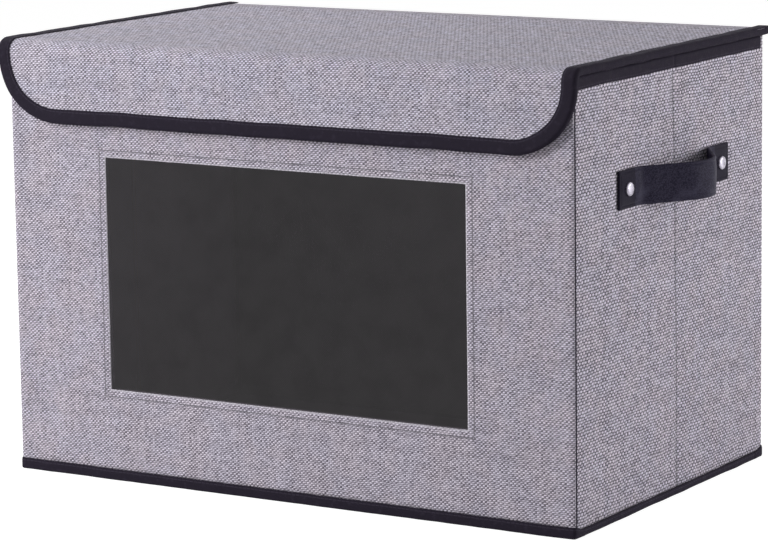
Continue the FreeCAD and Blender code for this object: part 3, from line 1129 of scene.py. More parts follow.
@dataclass(frozen=True)
class ClearFilm(Finish):
    """Clear plastic of the window, with a painted reflection of the white surround on it."""

    title: str = "Clear window film"
    film: Colour = srgb(236, 234, 238)
    sheen: Colour = (1.0, 0.96, 1.0, 1.0)
    ior: float = 1.295

    def shader(self, graph: Graph) -> Signal:
        """Straight transparency, and a painted reflection: an emission of what a clear sheet mirrors
        of an evenly white surround.

        Its two faces mirror their Fresnel share of white. The face towards the camera gives
        off both, because a ray that isn't bent meets the other one at the wrong angle.

        Args:
            graph: The material's tree.

        Returns:
            The material's shader.
        """
        flat = self.flat(graph)
        waves = self.bump(graph, graph.noise(flat, 16.0), 1.2 * MM, 0.1)
        mirror = graph.value("ShaderNodeFresnel", {"IOR": self.ior, "Normal": waves})
        seen = graph.value("ShaderNodeLightPath", {}, "Is Camera Ray")
        away = graph.value("ShaderNodeNewGeometry", {}, "Backfacing")
        # Uneven strength of the painted reflection.
        sheen_smudge = graph.step(graph.noise(flat, 60.0, 4.0), 0.3, 0.8, 1.04, 0.92)
        # Painted reflection: an emission that glows where the camera sees the film.
        sheen = graph.value("ShaderNodeEmission", {
            "Color": self.sheen, "Strength": mirror * (seen * (2.0 - away * 2.0)) * sheen_smudge})
        clear = graph.value("ShaderNodeBsdfTransparent", {"Color": self.film})
        return graph.value("ShaderNodeAddShader", {0: clear, 1: sheen})


@dataclass(frozen=True)
class FloorPaper(Finish):
    """White floor, which looks white to the camera and keeps the shadow of the box."""

    title: str = "White floor"
    glow: float = 0.94
    seen: Colour = srgb(140, 140, 140)
    pale: Colour = srgb(228, 228, 229)
    paler: Colour = srgb(232, 232, 232)

    def shader(self, graph: Graph) -> Signal:
        """White emission where it is seen, and plain matt paper for all other light.

        Args:
            graph: The material's tree.

        Returns:
            The material's shader.
        """
        looked_at = graph.looked_at()
        paper = graph.tint(graph.noise(self.place(graph), 3.0, solid=True), self.pale,
                           self.paler)
        return graph.value("ShaderNodeBsdfPrincipled", {
            "Base Color": graph.tint(looked_at, paper, self.seen), "Roughness": 0.9,
            "Specular IOR Level": 0.0, "Emission Color": (1.0, 1.0, 1.0, 1.0),
            "Emission Strength": looked_at * self.glow})


FRONT_LINEN = {"warp_pitch": 1.4 * MM, "weft_pitch": 1.193 * MM}
SIDE_LINEN = {"warp_pitch": 1.86 * MM, "weft_pitch": 1.82 * MM, "slant": 0.03, "contrast": 1.25}
TAPE = Tape()
STRAP = Leathercloth()
LINING = Fleece("Bonded lining")
# The same bonded lining as LINING, painted paler on the side walls as painted light on the inner
# side walls.
LIT_SIDE_LINING = Fleece("Bonded lining of the sides", srgb(154, 150, 154), srgb(136, 132, 136))
BOARD = Card()
RIVET = Nickel("Bright nickel")
WASHER = Nickel("Dull nickel", plate=srgb(168, 166, 170), tarnish=srgb(120, 118, 124), polish=0.4)
FILM = ClearFilm()
FLOOR = FloorPaper()


# The box


@dataclass(frozen=True)
class Planes:
    """Where the walls lie, read from their solids, in metres."""

    side_x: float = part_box("right_rear_cover")[1].x
    side_inner_x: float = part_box("right_rear_lining")[0].x
    end_y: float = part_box("back_cover")[1].y
    hinge_y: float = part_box("right_rear_board")[1].y
    foot_z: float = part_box("back_cover")[0].z
    panel_top_z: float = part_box("front_cover")[1].z
    wall_top_z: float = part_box("back_cover")[1].z
    lid_top_z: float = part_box("lid_cover")[1].z
    lid_under_z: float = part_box("lid_board")[0].z - 0.5 * MM
    lid_bend_y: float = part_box("lid_board")[0].y
    lid_x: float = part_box("lid_cover")[1].x
    flap_outer_y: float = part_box("flap_cover")[0].y
    flap_inner_y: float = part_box("flap_lining")[1].y
    flap_foot_z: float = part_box("flap_cover")[0].z

    @property
    def panel(self) -> float:
        """Thickness of a panel with its cloth and lining."""
        return self.side_x - self.side_inner_x


PLANES = Planes()


def sewn(name: str, patch: Patch, finish: Finish, facing: Point,
         nodes: Sequence[str], hole: float = 0.0) -> bpy.types.Object:
    """A cloth or lining, made as a sheet, with the nodes that it stands for hidden.

    Args:
        name: Name of the piece.
        patch: Its only patch, whose flat places give the size it was cut to.
        finish: Its finish.
        facing: Rough direction of its outer face.
        nodes: Names of the nodes that it stands for.
        hole: Area cut out of it.

    Returns:
        The piece.
    """
    cloth = make_piece(name, [patch], finish, facing, CLOTH)
    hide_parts(*nodes)
    width, length = np.ptp(patch.flat.reshape(-1, 2), axis=0)
    float(width * length) - hole if hole else None
    return cloth


@dataclass(frozen=True)
class CornerSeam:
    """Seam in an outer corner: both cloths turn in beside a dark piping, which also stands in for
    the shade in the seam.

    Places are distances along the wall that carries the seam, from the outer corner.

    Attributes:
        inset: Distance from the corner to the middle of the seam.
        gap: Gap between the two cloths, which the piping fills.
        turn: Radius at which a cloth turns into the seam.
        depth: How far a cloth goes in behind the turn.
    """

    inset: float = 2.35 * MM
    gap: float = 1.4 * MM
    turn: float = 0.6 * MM
    depth: float = 0.7 * MM

    @property
    def first(self) -> float:
        """Where the cloth that comes round the corner turns in."""
        return self.inset - self.gap / 2

    @property
    def second(self) -> float:
        """Where the cloth of the wall that carries the seam turns in."""
        return self.inset + self.gap / 2


SEAM = CornerSeam()


@dataclass(frozen=True)
class TapeSection:
    """Section of binding tape folded over a panel's edge.

    Its first axis runs from the edge into the panel, and its second across the panel.
    """

    panel: float
    width: float = 8.0 * MM
    thickness: float = 0.8 * MM
    corner: float = 1.3 * MM
    crown: float = 0.12 * MM

    def outline(self) -> np.ndarray:
        """Leg, corner arc, top, corner arc, leg, given the tape's thickness and crown.

        Returns:
            The closed outline.
        """
        half = (self.panel + self.thickness) / 2
        turn = self.corner - self.thickness / 2
        leg = self.width - self.thickness
        middle = joined(run((leg, half), (turn, half), 1.2 * MM),
                        arc((turn, half - self.corner), self.corner, 90, 180, 5),
                        arc((turn, self.corner - half), self.corner, 180, 270, 5),
                        run((turn, -half), (leg, -half), 1.2 * MM))
        return banded(middle, self.thickness, self.crown)


def taped(name: str, path: np.ndarray, inward: Directions, outward: Directions,
          section: np.ndarray, seed: int, sway: float = 0.18 * MM,
          tall: Optional[np.ndarray] = None) -> bpy.types.Object:
    """A length of binding tape that sways a little, as sewn tape does.

    The second flat coordinate is the distance to the nearer cut edge of the tape. Round the
    section the place runs from one cut edge to the other and back, so that distance is a
    triangle wave with the section's girth as its period.

    Args:
        name: Name of the piece.
        path: Points along the panel's edge.
        inward: Direction into the panel.
        outward: Direction across the panel.
        section: Outline of the tape.
        seed: Number that fixes its sway.
        sway: How far it sways.
        tall: Share of its height that the section keeps at each point of the path.

    Returns:
        The tape.
    """
    along = lengths(path)
    swayed = path + (ripple(along, along * 0, 45 * MM, sway, seed)[:, None] * inward
                     + ripple(along, along * 0, 30 * MM, 0.5 * sway, seed + 1)[:, None] * outward)
    patches = swept(swayed, inward, outward, section)
    half_girth = girths(section)[-1] / 2
    for patch in patches:
        across = patch.flat[..., 1] % half_girth
        patch.flat[..., 1] = np.minimum(across, half_girth - across)
    if tall is not None:
        for patch, share in zip(patches, (tall[:, None], tall[0], tall[-1])):
            patch.points[..., 2] *= share
    piece = make_piece(name, patches, TAPE)
    return piece


def upright(plan: np.ndarray, heights: np.ndarray) -> Tuple[np.ndarray, np.ndarray]:
    """A wall over a line in plan: (x, y) of the line at every height.

    Args:
        plan: Points of the line.
        heights: Heights of the rows.

    Returns:
        Rows of points, and their flat places, which are the way along the line and the height.
    """
    rows = heights[:, None]
    return placed(plan[:, 0], plan[:, 1], rows), placed(lengths(plan), rows)


def upright_over(node: str, face: int, cell: float, beside: Sequence[float] = (),
                 above: Sequence[float] = ()) -> Tuple[np.ndarray, np.ndarray]:
    """A flat wall over the front or the rear face of a node's box.

    Args:
        node: Name of the node.
        face: 0 for the front face, 1 for the rear one.
        cell: Largest distance between two points.
        beside: X values that have to be among the points.
        above: Z values that have to be among them.

    Returns:
        Rows of points, and their flat places.
    """
    low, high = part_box(node)
    plan = placed(steps(low.x, high.x, cell, beside), (low.y, high.y)[face])
    return upright(plan, steps(low.z, high.z, cell, above))


def rows_over(line: np.ndarray, half_width: np.ndarray, columns: int) -> np.ndarray:
    """Rows of cloth over a line seen from the side: (w u, y, z) for u from -1 to 1.

    Args:
        line: Points of the line, as (y, z).
        half_width: Half width w of the cloth at each point.
        columns: How many points a row has.

    Returns:
        Rows of points.
    """
    return placed(half_width[:, None] * np.linspace(-1, 1, columns), line[:, :1], line[:, 1:])


@dataclass
class FrontWall:
    """Front wall: linen with a hemmed window, film, lining and rim tape.

    The window is given by its half width, its sill and its top.
    """

    corner: float = 1.0 * MM
    film_margin: float = 12.0 * MM
    hem_band: float = 6.5 * MM
    edge_steps: Tuple[float, ...] = (0.0, 0.4 * MM, 1.2 * MM, 4.0 * MM)
    window: Point = field(init=False)

    def __post_init__(self) -> None:
        """Reads the window from the film's solid."""
        low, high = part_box("window_pane")
        self.window = (high.x - self.film_margin, low.z + self.film_margin,
                       high.z - self.film_margin)

    @property
    def opening(self) -> float:
        """Area of the window."""
        half, sill, top = self.window
        return 2 * half * (top - sill)

    def plan(self) -> np.ndarray:
        """The front's line in plan, turned round both corners and in at the seams.

        Returns:
            Points of the line, from left to right.
        """
        x, y, seam = PLANES.side_x, -PLANES.end_y, SEAM
        inner = x - seam.turn
        end = joined(arc((x - self.corner, y + self.corner), self.corner, 270, 360, 7),
                     run((x, y + self.corner), (x, y + seam.first - seam.turn), 0.5 * MM),
                     arc((inner, y + seam.first - seam.turn), seam.turn, 0, 90, 5),
                     run((inner, y + seam.first), (inner - seam.depth, y + seam.first),
                         0.4 * MM))
        beside = [self.window[0] + off for off in self.edge_steps]
        beside += [x - off for off in (self.hem_band, self.hem_band - 1.2 * MM, 3 * MM, 2 * MM)]
        stops = [x - self.corner + sign * value for value in beside for sign in (-1, 1)]
        return joined((end * [-1, 1])[::-1],
                      run((self.corner - x, y), (x - self.corner, y), CELL, stops), end)

    def outside(self, points: np.ndarray) -> np.ndarray:
        """Distance of each point outside the window's edge.

        Args:
            points: The points.

        Returns:
            The distances, below 0 inside the window.
        """
        half, sill, top = self.window
        return np.maximum(np.abs(points[..., 0]) - half,
                          np.abs(points[..., 2] - (sill + top) / 2) - (top - sill) / 2)

    def cut(self, points: np.ndarray, flat: np.ndarray) -> Patch:
        """A patch without the faces whose middles lie in the window."""
        middle = (points[1:, 1:] + points[:-1, :-1]) / 2
        return Patch(points, flat, left_out=self.outside(middle) < 0)

    def build_cloth(self) -> None:
        """Linen whose edge is turned back round the window.

        The face lies at the wall's plane with a soft ripple, drops behind it by
        0.45 mm exp(-d / 0.5 mm) at a distance d from the window, and stands 0.2 mm proud
        beside the corners, where it lies double over the seam.
        """
        half, sill, top = self.window
        near = [edge + sign * off for edge, sign in ((sill, -1), (top, 1))
                for off in self.edge_steps]
        heights = steps(PLANES.foot_z, PLANES.panel_top_z + CLOTH, CELL, near)
        plan = self.plan()
        points, flat = upright(plan, heights)
        flat[..., 0] -= lengths(plan)[-1] / 2
        away = np.maximum(self.outside(points), 0)
        from_corner = PLANES.side_x - np.abs(points[..., 0])
        flatness = smooth((from_corner - 8 * MM) / (20 * MM))
        doubled = (smooth((self.hem_band - from_corner) / (1.2 * MM))
                   * smooth((from_corner - self.corner) / (1.2 * MM)))
        waves = ripple(points[..., 0], points[..., 2], 70 * MM, 0.1 * MM, 11)
        points[..., 1] += (0.45 * MM * np.exp(-away / (0.5 * MM)) + flatness * waves
                           - 0.2 * MM * doubled)
        linen = Linen("Linen of the front", **FRONT_LINEN,
                      hem=Hem((0.0, (sill + top) / 2), half, (top - sill) / 2))
        cloth = sewn("front_linen", self.cut(points, flat), linen, (0, -1, 0),
                     ["front_cover"], self.opening)
        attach(cloth, "front_wall")

    def build_film(self) -> None:
        """Clear film behind the window, as wavy as sewn plastic film is."""
        points, flat = upright_over("window_pane", 0, 6 * MM)
        inside = smooth(-self.outside(points) / (30 * MM))
        waves = ripple(points[..., 0], points[..., 2], 120 * MM, 0.1 * MM, 5)
        points[..., 1] += 0.06 * MM + inside * (0.1 * MM + waves)
        film = make_piece("window_film", [Patch(points, flat)], FILM, (0, -1, 0), 0.3 * MM)
        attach(film, "front_wall")
        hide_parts("window_pane")

    def build_lining(self) -> None:
        """Lining behind the board, with the window cut in it."""
        half, sill, top = self.window
        patch = self.cut(*upright_over("front_lining", 1, 8 * MM, [-half, half], [sill, top]))
        lining = sewn("front_fleece", patch, LINING, (0, 1, 0), ["front_lining"],
                      self.opening)
        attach(lining, "front_wall")

    def build_rim(self) -> None:
        """Tape folded over the top edge."""
        low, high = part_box("front_rim_binding")
        path = placed(steps(low.x, high.x, 8 * MM), PLANES.panel / 2 - PLANES.end_y,
                      PLANES.panel_top_z)
        rim = taped("front_rim_tape", path, (0, 0, -1), (0, -1, 0),
                    TapeSection(PLANES.panel).outline(), 21)
        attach(rim, "front_wall")
        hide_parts("front_rim_binding")

    def build(self) -> None:
        """Builds every piece of the wall."""
        self.build_cloth()
        self.build_film()
        self.build_lining()
        self.build_rim()


@dataclass
class SideWall:
    """One side wall, creased down its middle: linen, lining, tape, strap and rivets."""

    side: Side
    corner: float = 1.0 * MM
    bend: float = 2.5 * MM
    lining_bend: float = 6.0 * MM
    groove_foot_y: float = 6.8 * MM
    groove_top_y: float = 1.0 * MM
    groove: float = 0.8 * MM

    def body(self, end: End) -> str:
        """Name of the body of the half at one end."""
        return f"{self.side.label}_{end.label}_half"

    def node(self, end: End, layer: str) -> str:
        """Name of a node of the half at one end."""
        return f"{self.side.label}_{end.label}_{layer}"

    def nodes(self, layer: str) -> List[str]:
        """Names of the rear and the front node of a layer."""
        return [self.node(end, layer) for end in End]

    def mirrored(self, points: np.ndarray) -> np.ndarray:
        """The points of the right side, moved to this side."""
        return points * np.array([self.side.value, 1, 1])

    def across_crease(self, piece: bpy.types.Object, reach: float) -> None:
        """Bakes a piece's placement into its mesh."""
        x = self.side.value * PLANES.side_x
        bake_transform(piece)

    def plan(self) -> np.ndarray:
        """The side's line in plan, from the front seam round the rear corner to its seam.

        Returns:
            Points of the line, from front to rear.
        """
        x, y, seam = PLANES.side_x, PLANES.end_y, SEAM
        first = seam.second - y
        front = joined(run((x - seam.turn - seam.depth, first), (x - seam.turn, first), 0.4 * MM),
                       arc((x - seam.turn, first + seam.turn), seam.turn, 270, 360, 5))
        last = x - seam.first
        rear = joined(arc((x - self.corner, y - self.corner), self.corner, 0, 90, 7),
                      arc((last + seam.turn, y - seam.turn), seam.turn, 90, 180, 5),
                      run((last, y - seam.turn), (last, y - seam.turn - seam.depth), 0.4 * MM))
        stops = [y - first + off for off in np.arange(-2.8, 11.0, 0.4) * MM]
        return joined(front, run((x, first + seam.turn), (x, y - self.corner), CELL, stops),
                      rear)

    def build_cloth(self) -> None:
        """Linen over both halves, with the crease pressed into it and painted shade along it.

        The crease is a groove, depth exp(-((y - y0) / 0.8 mm)^2), whose y0 leans a little
        towards the rear at the foot.
        """
        heights = steps(PLANES.foot_z, PLANES.panel_top_z + CLOTH, CELL)
        plan = self.plan()
        points, flat = upright(plan, heights)
        lean = (self.groove_top_y - self.groove_foot_y) / PLANES.panel_top_z
        middle = self.groove_foot_y + lean * points[..., 2]
        groove = self.groove * np.exp(-((points[..., 1] - middle) / (0.8 * MM)) ** 2)
        inner = smooth((PLANES.end_y - 6 * MM - np.abs(points[..., 1])) / (15 * MM))
        waves = ripple(points[..., 1], points[..., 2], 60 * MM, 0.1 * MM, 17 + self.side.value)
        points[..., 0] += inner * waves - groove
        straight = slice(4, -12)
        to_middle = np.interp(0.0, plan[straight, 1], lengths(plan)[straight])
        # The linen paints shade along the crease, beside its groove.
        linen = Linen("Linen of the sides", **SIDE_LINEN,
                      crease=Crease(float(to_middle) + self.groove_foot_y, lean))
        cloth = sewn(f"{self.side.label}_linen", Patch(self.mirrored(points), flat), linen,
                     (self.side.value, 0, 0), self.nodes("cover"))
        self.across_crease(cloth, self.bend)

    def build_lining(self) -> None:
        """Lining over both halves, which has slack to stretch over the crease.

        The slack is a low ridge in the middle, 0.8 mm exp(-(y / 2.5 mm)^2).
        """
        along = steps(-PLANES.hinge_y, PLANES.hinge_y, 6 * MM,
                      np.arange(-3, 3.1, 1.5) * MM)
        heights = steps(PLANES.foot_z, PLANES.panel_top_z, 8 * MM)
        points, flat = upright(placed(PLANES.side_inner_x, along), heights)
        points[..., 0] += 0.8 * MM * np.exp(-(points[..., 1] / (2.5 * MM)) ** 2)
        lining = sewn(f"{self.side.label}_fleece", Patch(self.mirrored(points), flat),
                      LIT_SIDE_LINING, (-self.side.value, 0, 0), self.nodes("lining"))
        self.across_crease(lining, self.lining_bend)

    def build_rim(self) -> None:
        """Tape folded over the top edge, pinched at the crease by 0.5 mm exp(-(d / 1.3 mm)^2)."""
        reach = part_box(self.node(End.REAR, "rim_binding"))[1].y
        along = steps(-reach, reach, 7 * MM, np.arange(-3, 6.1, 1.0) * MM)
        pinch = 0.5 * MM * np.exp(-((along - self.groove_top_y) / (1.3 * MM)) ** 2)
        path = placed(PLANES.side_x - PLANES.panel / 2 - pinch, along, PLANES.panel_top_z)
        rim = taped(f"{self.side.label}_rim_tape", self.mirrored(path), (0, 0, -1),
                    (self.side.value, 0, 0), TapeSection(PLANES.panel).outline(),
                    41 + self.side.value)
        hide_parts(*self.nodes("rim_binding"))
        self.across_crease(rim, self.bend)

    def build(self) -> None:
        """Builds every piece of the wall."""
        self.build_cloth()
        self.build_lining()
        self.build_rim()
        HandleStrap(self).build()
        for end in End:
            CapRivet(self, end).build()


@dataclass
class CapRivet:
    """A rivet at one end of a strap: a round cap on it, and a post with a rolled end inside."""

    wall: SideWall
    end: End
    cap: float = 2.0 * MM
    edge: float = 1.1 * MM
    dome: float = 0.12 * MM
    post: float = 1.5 * MM
    roll: float = 2.2 * MM

    def build(self) -> None:
        """The rivet, turned about its own line, from the crown inwards."""
        side = self.wall.side
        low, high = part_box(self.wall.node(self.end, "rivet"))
        centre = (0.0, (low.y + high.y) / 2, (low.z + high.z) / 2)
        tail, crown = sorted((abs(low.x), abs(high.x)))
        head = (high.z - low.z) / 2
        seat = crown - self.cap
        middle = (crown - self.dome - self.edge, head - self.edge)
        section = joined([(crown, 0.0), (crown - 0.05 * MM, 0.5 * head)],
                         arc(middle, self.edge, 0, 90, 7),
                         [(seat, head), (seat, self.post), (tail + 1.4 * MM, self.post),
                          (tail + 0.6 * MM, self.roll), (tail + 0.1 * MM, self.roll - 0.2 * MM),
                          (tail, 0.0)])
        rivet = make_piece(f"{side.label}_{self.end.label}_cap_rivet",
                           [lathed(section, centre, side.value)], RIVET, crease=35)
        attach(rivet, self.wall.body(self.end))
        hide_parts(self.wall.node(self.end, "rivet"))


@dataclass
class HandleStrap:
    """Strap handle: two flat tabs and an arch, with a line pressed in beside its edges."""

    wall: SideWall
    thickness: float = 2.0 * MM
    rise: float = 23.5 * MM
    spread: float = 32.0 * MM
    power: float = 2.2
    flat_from: float = 49.0 * MM
    line_inset: float = 2.1 * MM
    line_width: float = 0.45 * MM
    line_depth: float = 0.4 * MM
    step: float = 1.5 * MM
    bend: float = 34.0 * MM

    def height(self, place: np.ndarray) -> np.ndarray:
        """Height of the arch, rise exp(-(|y| / spread)^power), taken down to 0 at the tabs.

        Args:
            place: Y of each point.

        Returns:
            A height for each point.
        """
        reach = np.abs(place)
        bell = np.exp(-(reach / self.spread) ** self.power)
        ease = 1 - smooth((reach - self.flat_from + 12 * MM) / (12 * MM))
        return self.rise * bell * ease

    def build(self) -> None:
        """The strap: rows along its middle line, columns round its section.

        Each column keeps its distance from the middle line, less a groove of
        depth exp(-((d - inset) / width)^2), where d is the distance to the nearest edge. The
        edges are rounded by 0.5 mm exp(-d / 0.35 mm), and the middle is padded by 0.18 mm.
        """
        side = self.wall.side
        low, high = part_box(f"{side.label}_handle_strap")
        half_width = (high.z - low.z) / 2
        middle_x = min(abs(low.x), abs(high.x)) + self.thickness / 2
        ends = [high.y - off * MM for off in (0.0, 0.4, 0.9, 1.4, 1.8, 2.1, 2.4, 2.9, 3.6)]
        along = steps(-high.y, high.y, self.step, ends + [-end for end in ends])
        line = placed(middle_x + self.height(along), along)
        travelled = lengths(line)
        from_end = np.minimum(travelled, travelled[-1] - travelled)
        near = np.array([0.0, 0.25, 0.7, 1.2, 1.6, 1.9, 2.1, 2.3, 2.6, 3.0, 3.6]) * MM
        across = np.concatenate([near - half_width, np.linspace(-7, 7, 9) * MM,
                                 (half_width - near)[::-1]])
        nearest = np.minimum(from_end[:, None], half_width - np.abs(across))
        groove = self.line_depth * np.exp(-((nearest - self.line_inset) / self.line_width) ** 2)
        rounding = 0.5 * MM * np.exp(-nearest / (0.35 * MM))
        padding = 0.18 * MM * smooth((nearest - 3 * MM) / (4 * MM))
        outer = self.thickness / 2 - rounding - groove + padding
        inner = rounding - self.thickness / 2
        depth = np.concatenate([outer, inner[:, ::-1]], axis=1)
        height = np.concatenate([across, across[::-1]]) + (low.z + high.z) / 2
        section = line[:, None, :] + depth[..., None] * normals_of(line)[:, None, :]
        points = self.wall.mirrored(placed(section[..., 0], section[..., 1], height))
        ring = np.concatenate([across, 2 * half_width + across, [2 * half_width + across[0]]])
        flat = placed(travelled[:, None], ring)
        count = len(across)
        caps = [Patch(np.stack([points[row, :count], points[row, count:][::-1]]),
                      np.stack([flat[row, :count], flat[row, :count]])) for row in (0, -1)]
        strap = make_piece(f"{side.label}_strap", [Patch(points, flat, closed=True), *caps],
                           STRAP, crease=60)
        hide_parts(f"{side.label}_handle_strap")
        self.wall.across_crease(strap, self.bend)


@dataclass
class BackWall:
    """Back wall: linen that runs over the hinge onto the lid, as far as lid_edge_y, and lining."""

    roll: float = 2.5 * MM
    lid_edge_y: float = 110.0 * MM
    columns: int = 82

    def side_line(self) -> np.ndarray:
        """The cloth's line seen from the side, as (y, z), from the foot to the lid.

        Returns:
            Points of the line.
        """
        y, z = PLANES.end_y, PLANES.lid_top_z
        return joined(run((y, PLANES.foot_z), (y, z - self.roll), CELL),
                      arc((y - self.roll, z - self.roll), self.roll, 0, 90, 7),
                      run((y - self.roll, z), (self.lid_edge_y, z), 3 * MM))

    def length(self) -> float:
        """Length of the cloth from the foot to where the lid's cloth takes over."""
        return float(lengths(self.side_line())[-1])

    def build_cloth(self) -> None:
        """Linen of the back and of the hinge.

        It is as wide as the corner seams leave it, and widens to the lid over the hinge.
        """
        line = self.side_line()
        seam = PLANES.side_x - SEAM.second
        widening = smooth((line[:, 1] - PLANES.wall_top_z) / (3 * MM))
        points = rows_over(line, seam + widening * (PLANES.lid_x - seam), self.columns)
        low = smooth((PLANES.wall_top_z - 8 * MM - points[..., 2]) / (15 * MM))
        points[..., 1] += low * ripple(points[..., 0], points[..., 2], 70 * MM, 0.1 * MM, 23)
        patch = Patch(points, placed(points[..., 0], -lengths(line)[:, None]))
        cloth = sewn("back_linen", patch, Linen("Linen of the back", **FRONT_LINEN), (0, 1, 0),
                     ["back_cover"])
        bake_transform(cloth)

    def build_lining(self) -> None:
        """Lining inside the back wall."""
        patch = Patch(*upright_over("back_lining", 0, 8 * MM))
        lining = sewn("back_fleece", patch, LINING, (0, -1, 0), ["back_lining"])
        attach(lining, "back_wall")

    def build(self) -> None:
        """Builds every piece of the wall."""
        self.build_cloth()
        self.build_lining()


@dataclass
class LidAndFlap:
    """Lid and flap: one cloth over both, one lining, and one tape round all free edges."""

    back: BackWall
    corner: float = 42.0 * MM
    bend: float = 3.4 * MM
    tape_width: float = 9.3 * MM
    lining_radius: float = 1.5 * MM
    lining_inset: float = 1.0 * MM

    @property
    def roll(self) -> float:
        """Radius of the bend between the lid and the flap, over its outer face."""
        return PLANES.lid_bend_y - PLANES.flap_outer_y

    def side_line(self, back_y: float, y: float, z: float, radius: float, cell: float,
                  inset: float, count: int) -> np.ndarray:
        """A line seen from the side, as (y, z), over the lid, round the bend and down the flap.

        Beside the flap's rounded corners its points come closer together towards the foot, at
        f + r (1 - sin a) over the foot f, for even steps of a.

        Args:
            back_y: Y where it starts on the lid.
            y: Y of the flap's part.
            z: Height of the lid's part.
            radius: Radius of the bend.
            cell: Largest distance between two points of the straight parts.
            inset: How far it stays inside the cloth's edge.
            count: How many points the bend has.

        Returns:
            Points of the line.
        """
        foot, corner = PLANES.flap_foot_z + inset, self.corner - inset
        angle = np.radians(np.linspace(0, 90, 30))
        return joined(run((back_y, z), (y + radius, z), cell),
                      arc((y + radius, z - radius), radius, 90, 180, count),
                      run((y, z - radius), (y, foot + corner), cell),
                      placed(y, foot + corner * (1 - np.sin(angle))))

    def half_width(self, line: np.ndarray, inset: float) -> np.ndarray:
        """Half width of the lid and flap: w - r + sqrt(r^2 - (r - h)^2) at height h < r.

        Args:
            line: Points of a line seen from the side.
            inset: How far the piece stays inside the cloth's edge.

        Returns:
            A half width for each point.
        """
        radius = self.corner - inset
        height = line[:, 1] - PLANES.flap_foot_z - inset
        drop = np.clip(radius - height, 0, radius)
        return PLANES.lid_x - inset - radius + np.sqrt(radius ** 2 - drop ** 2)

    def bent(self, piece: bpy.types.Object) -> None:
        """Bakes a piece's placement into its mesh.

        Args:
            piece: The piece.
        """
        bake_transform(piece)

    def build_cloth(self) -> None:
        """Linen over the lid and down the flap."""
        line = self.side_line(self.back.lid_edge_y, PLANES.flap_outer_y, PLANES.lid_top_z,
                              self.roll, CELL, 0.0, 14)
        points = rows_over(line, self.half_width(line, 0.0), self.back.columns)
        from_edge = 1 - np.abs(np.linspace(-1, 1, self.back.columns))
        inner = (smooth((self.back.lid_edge_y - points[..., 1]) / (20 * MM))
                 * smooth((points[..., 1] - PLANES.lid_bend_y) / (12 * MM))
                 * smooth(from_edge / 0.08))
        points[..., 2] += inner * ripple(points[..., 0], points[..., 1], 80 * MM, 0.12 * MM, 29)
        start = self.back.length()
        patch = Patch(points, placed(points[..., 0], -start - lengths(line)[:, None]))
        top = self.back.lid_edge_y - PLANES.lid_bend_y
        linen = Linen("Linen of the lid", **FRONT_LINEN, pale=srgb(242, 238, 252),
                      pressed=Pressed(-start - top, 0.0))
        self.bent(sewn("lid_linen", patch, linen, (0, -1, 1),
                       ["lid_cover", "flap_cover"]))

    def build_lining(self) -> None:
        """Lining under the lid and behind the flap."""
        inset = self.lining_inset
        line = self.side_line(PLANES.end_y - inset, PLANES.flap_inner_y, PLANES.lid_under_z,
                              self.lining_radius, 8 * MM, inset, 5)
        points = rows_over(line, self.half_width(line, inset), 52)
        patch = Patch(points, placed(points[..., 0], lengths(line)[:, None]))
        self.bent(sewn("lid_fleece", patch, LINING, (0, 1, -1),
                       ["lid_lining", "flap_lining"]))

    def edge_path(self) -> List[np.ndarray]:
        """Half of the tape's path, from the lid's right rear corner to the flap's foot.

        Returns:
            Points on the middle of the panel's edge, the direction into the panel and the
            direction out of its face.
        """
        depth, foot_z = PLANES.panel / 2, PLANES.flap_foot_z
        y, z = PLANES.flap_outer_y, PLANES.lid_top_z
        line = joined(run((PLANES.end_y + 1.0 * MM, z - depth), (y + self.roll, z - depth),
                          7 * MM),
                      arc((y + self.roll, z - self.roll), self.roll - depth, 90, 180, 14),
                      run((y + depth, z - self.roll), (y + depth, foot_z + self.corner), 4 * MM))
        facing = normals_of(line)
        side = (placed(PLANES.lid_x, line[:, 0], line[:, 1]), (-1, 0, 0),
                placed(0, facing[:, 0], facing[:, 1]))
        turn = np.radians(np.linspace(0, -90, 22)[1:])
        centre = PLANES.lid_x - self.corner
        corner = (placed(centre + self.corner * np.cos(turn), y + depth,
                         foot_z + self.corner * (1 + np.sin(turn))),
                  placed(-np.cos(turn), 0, -np.sin(turn)), (0, -1, 0))
        foot = (placed(np.linspace(centre, 0, 24)[1:], y + depth, foot_z), (0, 0, 1), (0, -1, 0))
        return [np.concatenate([np.broadcast_to(part[index], part[0].shape)
                                for part in (side, corner, foot)]) for index in range(3)]

    def build_tape(self) -> None:
        """Tape round the lid's sides and the flap, in one length."""
        path, inward, outward = (np.concatenate([half, (half * [-1, 1, 1])[::-1][1:]])
                                 for half in self.edge_path())
        section = TapeSection(PLANES.panel, self.tape_width, corner=1.7 * MM).outline()
        tape = taped("lid_tape", path, inward, outward, section, 51, sway=0.3 * MM)
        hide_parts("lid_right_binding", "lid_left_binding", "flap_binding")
        self.bent(tape)

    def build(self) -> None:
        """Builds every piece of the lid and flap."""
        self.build_cloth()
        self.build_lining()
        self.build_tape()


